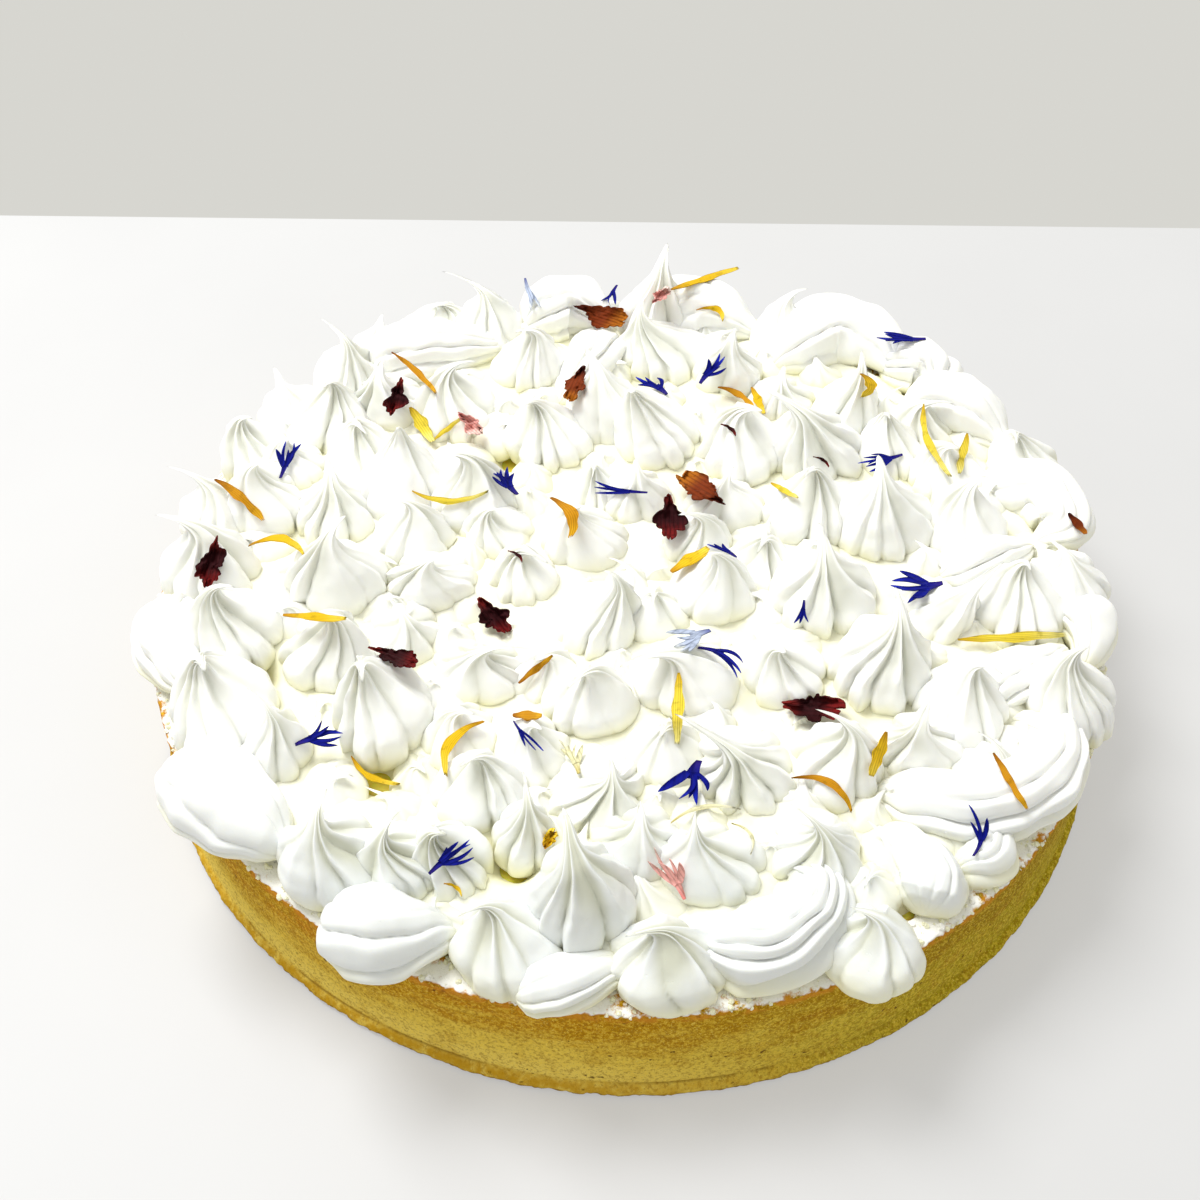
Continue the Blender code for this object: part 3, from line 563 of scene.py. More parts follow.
def kiss_tree():
    tree, (feet, around, up, fold, uneven, finish) = new_tree(
        "star_kisses",
        ("Steps round", "Int", 108),
        ("Steps up", "Int", 42),
        ("Fold depth", "Float", 0.32),
        ("Unevenness", "Float", 0.0013),
    )
    sheet = put(tree, "GeometryNodeMeshGrid", None, {0: 1.0, 1: 1.0, 2: around, 3: up})
    across = parts_of(tree, put(tree, "GeometryNodeInputPosition"))
    for name, axis in (("u", 0), ("v", 1)):
        values = {"Geometry": sheet, "Name": name, "Value": across[axis] + 0.5}
        sheet = put(tree, "GeometryNodeStoreNamedAttribute", {"data_type": "FLOAT"}, values)
    laid = put(tree, "GeometryNodeInstanceOnPoints", None, {"Points": feet, "Instance": sheet})
    laid = put(tree, "GeometryNodeRealizeInstances", None, {0: laid})

    u, v = kept(tree, "u"), kept(tree, "v")
    radius, tall, lobes = parts_of(tree, kept(tree, "size", "FLOAT_VECTOR"))
    turn, twist, lively = parts_of(tree, kept(tree, "habit", "FLOAT_VECTOR"))
    lean_x, lean_y, side = parts_of(tree, kept(tree, "lean", "FLOAT_VECTOR"))
    angle = u * math.tau
    reach = drawn_curve(tree, v, RADIUS_STOPS) ** ((turn * 6.0).math("SINE") * 0.18 + 1.06)
    rise = ((v - 0.04) / 0.96).math("MAXIMUM", 0.0)
    wander = (angle * 2.0 + turn * 5.0).math("SINE") * 0.22 + (angle * 3.0 + turn * 9.0).math("SINE") * 0.11
    even = (angle + wander) * lobes / 2 + turn + twist * v
    phase = even + (even * 2.0).math("COSINE") * side
    round_lobes = phase.math("SINE").math("ABSOLUTE") ** 0.62
    pulled_ridges = 1.0 - phase.math("COSINE").math("ABSOLUTE") ** 0.8
    high = v.step(0.26, 0.74) * 0.85
    teeth = round_lobes + (pulled_ridges - round_lobes) * high
    uneven_lobe = (angle + turn * 3.0).math("SINE") * 0.35
    uneven_lobe = uneven_lobe + (angle * 3.0 + turn * 7.0).math("SINE") * 0.22 + 1.0
    depth = fold * lively * uneven_lobe * v.step(0.02, 0.20) * (high * 0.70 + 0.62)
    crease = depth * (1.0 - teeth)
    width = radius * reach * (1.0 - crease)
    oval = (turn * 4.0).math("SINE") * 0.09
    wide_x = width * (1.0 + oval)
    wide_y = width * (1.0 - oval)
    sway = v**1.8
    hook = (v - 0.70).math("MAXIMUM", 0.0) / 0.30
    curl = hook * hook * 0.42
    bulge = ((v - 0.40).math("MAXIMUM", 0.0) * (math.pi / 0.60)).math("SINE")
    flick = (hook * hook * 0.44 - bulge * 0.17) * radius * lively
    shift_x = lean_x * (sway + curl) + flick * (turn * 2.0).math("COSINE")
    shift_y = lean_y * (sway + curl) + flick * (turn * 2.0).math("SINE")
    drop = hook * hook * hook * tall * 0.15 * lively
    spot = joined(
        tree,
        wide_x * angle.math("COSINE") + shift_x,
        wide_y * angle.math("SINE") + shift_y,
        rise * tall - drop,
    )
    spot = moved(tree, spot, kept(tree, "foot", "FLOAT_VECTOR"))
    for scale, share in ((95.0, 1.0), (300.0, 0.25)):
        lump = put(tree, "ShaderNodeTexNoise", None, {"Vector": spot, "Scale": scale, "Detail": 1.0}, out=1)
        lump = put(tree, "ShaderNodeVectorMath", {"operation": "SUBTRACT"}, {0: lump, 1: (0.5, 0.5, 0.5)})
        size = uneven * share * 2.0 * (1.0 - v * 0.6) * v.step(0.0, 0.1)
        lump = put(tree, "ShaderNodeVectorMath", {"operation": "SCALE"}, {0: lump, "Scale": size})
        spot = moved(tree, spot, lump)
    shaped = put(tree, "GeometryNodeSetPosition", None, {"Geometry": laid, "Position": spot})
    # The fold depth is stored as `crease` for the finish, which paints shade into the folds by it.
    values = {"Geometry": shaped, "Name": "crease", "Value": crease}
    shaped = put(tree, "GeometryNodeStoreNamedAttribute", {"data_type": "FLOAT"}, values)
    shaped = put(tree, "GeometryNodeMergeByDistance", None, {"Geometry": shaped, "Distance": 0.00002})
    return hand_out(tree, put(tree, "GeometryNodeSetShadeSmooth", None, {"Geometry": shaped}), finish)


def feet_mesh(name, rows, widen, draw):
    """One loose point for each kiss, with that kiss's own numbers on it."""
    mesh = bpy.data.meshes.new(name)
    feet = [(row[0] * MM, row[1] * MM, (CURD_TOP + 0.6) * MM) for row in rows]
    mesh.from_pydata(feet, [], [])
    sizes, habits, leans = [], [], []
    for x, y, radius, tall, lean_x, lean_y in rows:
        lobes = draw.choice((7, 7, 8, 9)) if radius > 11 else draw.choice((6, 7, 7, 8))
        sizes.append((radius * widen * MM, tall * MM, lobes))
        habits.append((draw.uniform(0, math.tau), draw.uniform(-1.3, 1.3), draw.uniform(0.7, 1.3)))
        leans.append((lean_x * MM, lean_y * MM, draw.choice((-0.42, -0.3, 0.3, 0.42))))
    for label, values in (("foot", feet), ("size", sizes), ("habit", habits), ("lean", leans)):
        attribute = mesh.attributes.new(label, "FLOAT_VECTOR", "POINT")
        attribute.data.foreach_set("vector", np.array(values, dtype=np.float32).ravel())
    return mesh


def set_input(tree, modifier, name, value):
    socket = next(s for s in tree.interface.items_tree if s.name == name and s.in_out == "INPUT")
    modifier[socket.identifier] = value


def grown(name, seeds, tree, **inputs):
    """Runs a node tree over a seed mesh and gives the plain mesh that comes out."""
    holder = bpy.data.objects.new(name, seeds)
    bpy.context.scene.collection.objects.link(holder)
    modifier = holder.modifiers.new("nodes", "NODES")
    modifier.node_group = tree
    for label, value in inputs.items():
        set_input(tree, modifier, label.replace("_", " "), value)
    bpy.context.view_layer.update()
    graph = bpy.context.evaluated_depsgraph_get()
    mesh = bpy.data.meshes.new_from_object(holder.evaluated_get(graph))
    holder.modifiers.clear()
    bpy.data.objects.remove(holder)
    mesh.name = name
    for label in ("u", "v", "foot", "size", "habit", "lean"):
        if label in mesh.attributes:
            mesh.attributes.remove(mesh.attributes[label])
    return mesh


KISSES = kiss_tree()
print("kiss tree has", len(KISSES.nodes), "nodes")

# %% [markdown]
# ## Piping the kisses
# Every piece of piping stands in for the frame's one meringue solid, where the kisses are fused. The radii
# of the rows are widened by 6 %, and by 2 % at the rim.

# %% Kisses
RIM_WIDEN, INNER_WIDEN, DAB_WIDEN = 1.02, 1.06, 1.1
draw = random.Random(5)
kiss_pieces = []
for name, rows in GROUPS.items():
    widen = RIM_WIDEN if name.startswith("rim") else INNER_WIDEN
    seeds = feet_mesh("feet_" + name, rows, widen, draw)
    mesh = grown("kisses_" + name, seeds, KISSES, Finish=meringue_white)
    kiss_pieces.append(new_piece("kisses_" + name, mesh, None, "white_meringue", "meringue"))
    print(mesh.name, len(mesh.polygons), "faces")

# %% [markdown]
# ## The spread layer and the small dabs
# Under the kisses the meringue was first spread over the curd, so hardly any yellow shows. The layer is a
# disc whose top height is a sum of noise, sunk to nothing at the few places where the curd peeks out. Small
# dabs fill the gaps between the kisses. A seeded throw finds their places: a dab stays only where it keeps
# its distance from every foot.

# %% Spread layer
LAYER_RADIUS = 118.5
LAYER_TOP = 38.6
THIN_SPOTS = ((-97, -36), (-27, -90), (-33, 50), (98, -10), (-62, -66))


def layer_height(x, y):
    top = LAYER_TOP
    for rise, width, seed in ((1.8, 22, 3), (1.2, 8, 6), (0.3, 2.5, 8)):
        top += rise * noise.noise(Vector((x / width, y / width, seed)))
    for spot in THIN_SPOTS:
        away = math.hypot(x - spot[0], y - spot[1]) / 5.5
        top -= 8.0 * math.exp(-away * away)
    edge = smooth_step(math.hypot(x, y), LAYER_RADIUS - 5, LAYER_RADIUS)
    return top - 5.0 * float(edge) ** 2


def layer_mesh():
    rings, around = 80, 420
    points = [(0, 0, layer_height(0, 0) * MM)]
    for ring in range(1, rings + 1):
        radius = LAYER_RADIUS * ring / rings
        for k in range(around):
            x, y = radius * math.cos(math.tau * k / around), radius * math.sin(math.tau * k / around)
            points.append((x * MM, y * MM, layer_height(x, y) * MM))
    outer = 1 + (rings - 1) * around
    points += [(p[0], p[1], (CURD_TOP - 1.0) * MM) for p in points[outer:]]
    points.append((0, 0, (CURD_TOP - 1.0) * MM))
    faces = []
    for k in range(around):
        after = (k + 1) % around
        faces.append((0, 1 + k, 1 + after))
        for ring in range(rings):
            near, far = 1 + ring * around, 1 + (ring + 1) * around
            faces.append((near + k, far + k, far + after, near + after))
        last = 1 + rings * around
        faces.append((last + k, len(points) - 1, last + after))
    mesh = bpy.data.meshes.new("spread_layer")
    mesh.from_pydata(points, [], faces)
    mesh.shade_smooth()
    return mesh


layer = new_piece("spread_layer", layer_mesh(), meringue_white, "white_meringue", "meringue")
print("layer faces", len(layer.data.polygons))

# %% Small dabs
ALL_KISSES = MIDDLE_KISSES + SECOND_KISSES + THIRD_KISSES + RIM_KISSES


def gap_dabs(draw, wanted):
    """Rows for small kisses thrown into the gaps."""
    taken = [(row[0], row[1], row[2]) for row in ALL_KISSES]
    rows = []
    for _ in range(6000):
        radius = draw.uniform(6.5, 9.5)
        spread = 116.0 * math.sqrt(draw.random())
        angle = draw.uniform(0, math.tau)
        x, y = spread * math.cos(angle), spread * math.sin(angle)
        if any(math.hypot(x - a, y - b) < 0.62 * (radius + c) for a, b, c in taken):
            continue
        if any(math.hypot(x - a, y - b) < 11 for a, b in THIN_SPOTS):
            continue
        taken.append((x, y, radius))
        tall = draw.uniform(7.5, 12.0)
        rows.append((x, y, radius, tall, draw.uniform(-5, 5), draw.uniform(-5, 5)))
        if len(rows) == wanted:
            break
    return rows


dabs = gap_dabs(random.Random(21), 90)
seeds = feet_mesh("feet_dabs", dabs, DAB_WIDEN, random.Random(22))
counts = {"Steps_round": 56, "Steps_up": 18}
mesh = grown("gap_dabs", seeds, KISSES, Finish=meringue_white, Fold_depth=0.16, Unevenness=0.0016, **counts)
kiss_pieces.append(new_piece("gap_dabs", mesh, None, "white_meringue", "meringue"))
print("dabs", len(dabs), "faces", len(mesh.polygons))

# %% [markdown]
# ## Piped ropes
# Along the rim the nozzle was dragged instead of lifted, which leaves ropes: a round start, ridges that run
# along the bend, and a thin tail. A row gives the points on plan, the radius and how deep the folds are. A
# rope is the same toothed section swept along a smooth line through the points, and it needs a frame that
# turns with the bend without spinning, so this one is plain mesh code. The frame looks a few steps ahead
# and back, which keeps the rings from crossing at a tight bend.

# %% Ropes
ROPES = (
    (((-109, -62), (-98, -75), (-87, -84), (-78, -89)), 12.0, 0.19),
    (((-67, -105), (-54, -112), (-38, -108)), 11.0, 0.15),
    (((-26, -123), (-13, -121), (1, -114)), 7.0, 0.16),
    (((14, -111), (27, -114), (38, -108), (42, -97), (32, -87)), 10.5, 0.34),
    (((66, -103), (68, -93), (60, -79)), 8.5, 0.16),
    (((74, -92), (83, -88), (84, -79), (76, -76)), 6.5, 0.27),
    (((57, -69), (80, -76), (99, -67), (105, -53), (95, -47)), 10.0, 0.24),
    (((88, -41), (101, -34), (115, -24)), 8.5, 0.24),
    (((100, 36), (117, 33), (121, 19), (112, 14)), 10.0, 0.22),
    (((84, 76), (101, 67), (113, 54)), 11.0, 0.20),
    (((78, 93), (94, 87), (93, 73)), 9.5, 0.24),
    (((44, 90), (62, 104), (78, 99), (86, 86)), 12.5, 0.20),
    (((4, 109), (24, 115), (43, 106)), 12.0, 0.18),
    (((-33, 109), (-18, 116), (-3, 108)), 12.0, 0.20),
    (((-81, 87), (-62, 93), (-35, 100)), 11.5, 0.22),
    (((-4, 101), (-12, 88), (-22, 72)), 9.5, 0.20),
    (((84, 0), (98, 5), (112, 14)), 9.0, 0.24),
    (((-117, -12), (-119, -28), (-109, -43)), 10.0, 0.22),
    (((118, -7), (121, -19), (117, -31)), 8.0, 0.24),
)
ROPE_SHARES = (
    (0, 0), (0.03, 0.38), (0.09, 0.74), (0.18, 0.97), (0.36, 1.05), (0.6, 0.90), (0.8, 0.60), (0.93, 0.30),
    (1, 0),
)


def through(stops, t):
    """A smooth line through the stops (Catmull-Rom)."""
    reach = t * (len(stops) - 1)
    k = min(int(reach), len(stops) - 2)
    f = reach - k
    a, b = stops[k], stops[k + 1]
    before = stops[k - 1] if k > 0 else a * 2 - b
    after = stops[k + 2] if k + 2 < len(stops) else b * 2 - a
    bend = 2 * before - 5 * a + 4 * b - after
    return 0.5 * (2 * a + (b - before) * f + bend * f * f + (3 * a - before - 3 * b + after) * f**3)


def rope_rows(stops, radius, fold, draw):
    """Rings of points along one rope. Deeper folds come with more of them."""
    flat = [Vector((x, y, 0)) for x, y in stops]
    steps, around, lobes, window = 72, 120, round(5 + 22 * fold), 6
    turn, twist = draw.uniform(0, math.tau), draw.choice((-1, 1)) * draw.uniform(1.4, 2.8)
    seed = draw.uniform(0, 50)
    times = [0.5 - 0.5 * math.cos(math.pi * k / steps) for k in range(steps + 1)]
    shares = [float(v) for v in np.interp(times, *zip(*ROPE_SHARES))]
    centres = []
    for t in times:
        spot = through(flat, t)
        spot.z = CURD_TOP + radius * (0.42 + 0.25 * math.sin(math.pi * t))
        centres.append(spot)
    rings = []
    for k, (t, centre) in enumerate(zip(times, centres)):
        along = centres[min(k + window, steps)] - centres[max(k - window, 0)]
        along = Vector((along.x, along.y, along.z * 0.5)).normalized()
        side = along.cross(Vector((0, 0, 1))).normalized()
        top = side.cross(along)
        ring = []
        for j in range(around):
            angle = math.tau * j / around
            wander = 0.22 * math.sin(2 * angle + 5 * turn) + 0.11 * math.sin(3 * angle + 9 * turn)
            even = (angle + wander) * lobes / 2 + turn + twist * t
            teeth = abs(math.sin(even + 0.35 * math.cos(2 * even))) ** 0.7
            upper = math.sin(angle)
            depth = fold * (1 + 0.4 * math.sin(angle + turn * 3)) * float(smooth_step(upper, -0.7, 0.3))
            reach = radius * shares[k] * (1 - depth * (1 - teeth))
            spot = centre + reach * (math.cos(angle) * side + (0.92 if upper > 0 else 0.72) * upper * top)
            lump = Vector([noise.noise((spot + Vector((seed, 31.0 * axis, 0))) / 9.0) for axis in range(3)])
            ring.append(spot + lump * 1.3 * min(1.0, 4 * shares[k]))
        rings.append(ring)
    return rings


def ropes_mesh(rows, draw):
    points, faces = [], []
    for stops, radius, fold in rows:
        rings = rope_rows(stops, radius, fold, draw)
        around = len(rings[0])
        start = len(points)
        points.append(sum(rings[0], Vector()) / around)
        for ring in rings[1:-1]:
            points += ring
        points.append(sum(rings[-1], Vector()) / around)
        end = len(points) - 1
        count = len(rings) - 2
        for j in range(around):
            after = (j + 1) % around
            faces.append((start, start + 1 + after, start + 1 + j))
            for ring in range(count - 1):
                near, far = start + 1 + ring * around, start + 1 + (ring + 1) * around
                faces.append((near + j, near + after, far + after, far + j))
            last = start + 1 + (count - 1) * around
            faces.append((last + j, last + after, end))
    mesh = bpy.data.meshes.new("rim_ropes")
    mesh.from_pydata([tuple(p * MM) for p in points], [], faces)
    mesh.shade_smooth()
    return mesh


draw = random.Random(8)
for name, rows in (("rim_ropes_front", ROPES[:9]), ("rim_ropes_back", ROPES[9:])):
    mesh = ropes_mesh(rows, draw)
    kiss_pieces.append(new_piece(name, mesh, meringue_white, "white_meringue", "meringue"))
    print(name, len(mesh.polygons), "faces")

# %% [markdown]
# ## Grains on the rim
# Bits of dried meringue and crumbs of pastry lie on the trimmed rim. They are scattered by Geometry Nodes:
# points thrown over the faces of the rim, a small ball on each with its own size and turn, pushed out of
# shape by noise.


# %% Grain tree
def grain_tree():
    tree, (ground, density, size, seed, finish) = new_tree(
        "thrown_grains", ("Density", "Float", 300000.0), ("Size", "Float", 0.0005), ("Seed", "Int", 1)
    )
    values = {"Mesh": ground, "Density": density, "Seed": seed}
    spots = put(tree, "GeometryNodeDistributePointsOnFaces", None, values)
    ball = put(tree, "GeometryNodeMeshIcoSphere", None, {"Radius": size, "Subdivisions": 2})
    chance = put(tree, "FunctionNodeRandomValue", {"data_type": "FLOAT"}, {2: 0.35, 3: 1.0}, out=1)
    turns = {0: (0.0, 0.0, 0.0), 1: (6.28, 6.28, 6.28)}
    turn = put(tree, "FunctionNodeRandomValue", {"data_type": "FLOAT_VECTOR"}, turns)
    values = {"Points": spots, "Instance": ball, "Rotation": turn, "Scale": chance * chance * 1.5}
    thrown = put(tree, "GeometryNodeInstanceOnPoints", None, values)
    thrown = put(tree, "GeometryNodeRealizeInstances", None, {0: thrown})
    dent = put(tree, "ShaderNodeTexNoise", None, {"Scale": 1700.0, "Detail": 1.0}, out=1)
    dent = put(tree, "ShaderNodeVectorMath", {"operation": "SUBTRACT"}, {0: dent, 1: (0.5, 0.5, 0.45)})
    dent = put(tree, "ShaderNodeVectorMath", {"operation": "SCALE"}, {0: dent, "Scale": size * 2.2})
    thrown = put(tree, "GeometryNodeSetPosition", None, {"Geometry": thrown, "Offset": dent})
    return hand_out(tree, thrown, finish)


def top_faces(mesh, name, level):
    """The faces of a mesh that lie above a level in millimetres, as a mesh of their own."""
    faces = [tuple(face.vertices) for face in mesh.polygons if face.center.z > level * MM]
    top = bpy.data.meshes.new(name)
    top.from_pydata([v.co for v in mesh.vertices], [], faces)
    return top


# %% Grains
GRAINS = grain_tree()
for name, density, size, seed, finish, slot in (
    ("rim_grains", 230000.0, 0.0005, 4, meringue_white, "white_meringue"),
    ("rim_crumbs", 60000.0, 0.0006, 9, pastry, "baked_pastry"),
):
    rim = top_faces(shell_mesh, name + "_ground", RIM_HEIGHT - 1.0)
    mesh = grown(name, rim, GRAINS, Density=density, Size=size, Seed=seed, Finish=finish)
    new_piece(name, mesh, None, slot)
    print(name, len(mesh.polygons), "faces")

# %% [markdown]
# ## Petal finishes
# The petals are dried marigold rays, cornflower florets and rose petals. Each has a tone at the base where
# it grew, one in the middle and one at the tip, with fine veins along it. The petal's own UV map says how
# far along (`t`) and how far across (`s`) a point is, so the veins follow every bend.

# %% Petal finishes
PETAL_TONES = {
    "yellow": ((0.48, 0.22, 0.006), (0.72, 0.45, 0.010), (0.82, 0.60, 0.06)),
    "lemon": ((0.56, 0.34, 0.012), (0.78, 0.60, 0.050), (0.86, 0.76, 0.22)),
    "straw": ((0.60, 0.50, 0.16), (0.82, 0.78, 0.48), (0.86, 0.84, 0.66)),
    "orange": ((0.30, 0.10, 0.004), (0.54, 0.24, 0.006), (0.68, 0.36, 0.012)),
    "rust": ((0.030, 0.002, 0.002), (0.17, 0.026, 0.003), (0.44, 0.14, 0.008)),
    "rose": ((0.18, 0.010, 0.008), (0.028, 0.0015, 0.003), (0.16, 0.006, 0.006)),
    "pink": ((0.62, 0.20, 0.18), (0.85, 0.42, 0.38), (0.92, 0.70, 0.62)),
    "blue": ((0.02, 0.01, 0.16), (0.0010, 0.004, 0.20), (0.004, 0.018, 0.46)),
    "pale": ((0.10, 0.12, 0.30), (0.42, 0.48, 0.62), (0.80, 0.82, 0.80)),
}


def petal_finish(name, base, middle, tip):
    finish, tree, shader = new_finish("petal_" + name, 0.75, Specular_IOR_Level=0.12)
    along, across, _ = parts_of(tree, put(tree, "ShaderNodeUVMap", {"uv_map": "petal"}))
    place = object_place(tree)
    mottled = noise_at(tree, place, 420.0, 3.0)
    grown_tone = blend_colours(tree, along.step(0.0, 0.35), (*base, 1), (*middle, 1))
    grown_tone = blend_colours(tree, along.step(0.6, 1.0), grown_tone, (*tip, 1))
    dried = [share * 0.45 for share in middle]
    veins = ((across * 38.0 + mottled * 2.0).math("SINE") * 0.5 + 0.5).step(0.55, 1.0)
    tone = blend_colours(tree, veins * 0.45, grown_tone, (*dried, 1))
    tone = blend_colours(tree, mottled.step(0.54, 0.68) * 0.5, tone, (*dried, 1))
    plug(tree, shader.inputs["Base Color"], tone)
    bumped(tree, shader, veins * -0.6 + mottled * 0.6, 0.0003, 0.6)
    return finish


petal_finishes = {name: petal_finish(name, *tones) for name, tones in PETAL_TONES.items()}
OWN_TONES = {"pale_1": "straw", "rose_5": "rust", "rose_6": "rust", "orange_6": "yellow"}
OWN_TONES |= {f"yellow_{number}": "lemon" for number in (5, 6, 7, 11, 12, 13, 15, 16)}
print("petal finishes:", list(petal_finishes))

# %% [markdown]
# ## Petal shapes
# A petal starts as a flat sheet of points, each with its place along and across. A marigold ray is slim
# with three blunt teeth. A cornflower floret is a tube that opens into pointed lobes. A rose petal is
# broad, crumpled and torn. `curl` lifts the ends, and `bow` bends the petal sideways.


# %% Petal sheets
def sheet_of(stations, across, spot):
    """A grid of points: spot(i, j) gives along, across and rise. Faces follow the grid."""
    row = across + 1
    points = [spot(i / stations, 2 * j / across - 1) for i in range(stations + 1) for j in range(row)]
    faces = []
    for i in range(stations):
        for j in range(across):
            here = i * row + j
            faces.append((here, here + row, here + row + 1, here + 1))
    rim = list(range(row)) + [i * row + across for i in range(1, stations + 1)]
    rim += [stations * row + j for j in range(across - 1, -1, -1)]
    rim += [i * row for i in range(stations - 1, 0, -1)]
    return points, faces, rim


def ray_sheets(draw, curl, width):
    turn, wave = draw.uniform(-0.5, 0.5), draw.uniform(0, 6)

    def spot(t, j):
        half = 0.42 * (math.sin(math.pi * (0.05 + 0.82 * t)) ** 0.8) * (1 - 0.25 * t**6)
        half *= 1 + 0.5 * noise.noise(Vector((5 * t, j, wave)))
        tooth = 0.05 * t**8 * (abs(math.sin(1.5 * math.pi * j)) - 0.6)
        rise = curl * (2 * t - 1) ** 2 + 0.35 * math.cos(math.pi * j) * half
        rise += 0.3 * math.sin(7 * t + wave) + 1.6 * turn * j * half * math.sin(math.pi * t + wave)
        return t + tooth, j * half, rise

    return [sheet_of(18, 6, spot)]


def floret_sheets(draw, curl, width):
    lobes, lean = (draw.choice((4, 5, 6)) if width > 5.5 else 3), draw.choice((-1, 1))
    sheets = []

    def tube(t, j):
        half = 0.06 + 0.10 * t
        rise = curl * (1 - t) ** 2 - 0.5 * (1 - j * j) * half
        return 0.42 * t, j * half + 0.10 * lean * (1 - t) ** 2, rise

    sheets.append(sheet_of(6, 2, tube))
    for k in range(lobes):
        share = (k + 0.5) / lobes * 2 - 1
        far, wide = draw.uniform(0.66, 1.04) - 0.16 * share * share, 0.60 * share * draw.uniform(0.7, 1.3)
        lift, fat, bend = draw.uniform(0.0, 3.0), draw.uniform(0.05, 0.10), draw.uniform(-0.16, 0.16)

        def lobe(t, j):
            half = fat * math.sin(math.pi * (0.20 + 0.80 * t)) ** 0.7 if t < 1 else 0.0
            along = 0.28 + (far - 0.28) * t - 0.5 * share * j * half
            beside = 0.12 * share + (wide - 0.12 * share) * t**1.25
            beside = beside + bend * math.sin(math.pi * t) + j * half
            return along, beside, 0.3 + lift * t * t + 1.2 * abs(j) * half

        sheets.append(sheet_of(9, 2, lobe))
    return sheets


def broad_sheets(draw, curl, width):
    seed = draw.uniform(0, 90)

    def spot(t, j):
        torn = 0.9 * noise.noise(Vector((3.4 * t, 1.1 * j, seed)))
        torn += 0.45 * noise.noise(Vector((12 * t, 2 * j, seed)))
        half = 0.5 * math.sqrt(max(0.01, 1 - abs(2 * t - 1) ** 2.6 * 0.99)) * (1 + torn)
        half *= 0.30 + 0.85 * float(smooth_step(t, 0.05, 0.60))
        crumple = 2.0 * noise.noise(Vector((3.0 * t, 1.6 * j, seed + 5)))
        crumple += 1.1 * noise.noise(Vector((7.0 * t, 3.5 * j, seed + 9)))
        rise = curl * (2 * t - 1) ** 2 + 2.6 * max(0.0, abs(j) - 0.2) ** 1.4 + crumple
        return t + 0.5 * torn * (t - 0.5), j * half * (1 - 0.18 * abs(j)), rise

    return [sheet_of(44, 14, spot)]


SHEETS = {"ray": ray_sheets, "floret": floret_sheets, "broad": broad_sheets}
print("petal kinds:", list(SHEETS))

# %% [markdown]
# ## Laying the petals
# The photo tells where a petal is seen, not how high it lies. So each end is given on a plan 45 mm up, and
# lines of sight from the camera through that plan find the meringue that carries the petal. Dried petals
# are stiff: a taut line over the bumps gives the height on the way, and hollows are bridged. Then the petal
# is moved in small steps along the line of sight until it just touches nothing. Where too much of it would
# then be hidden, it is laid again with more room to bend up and down.

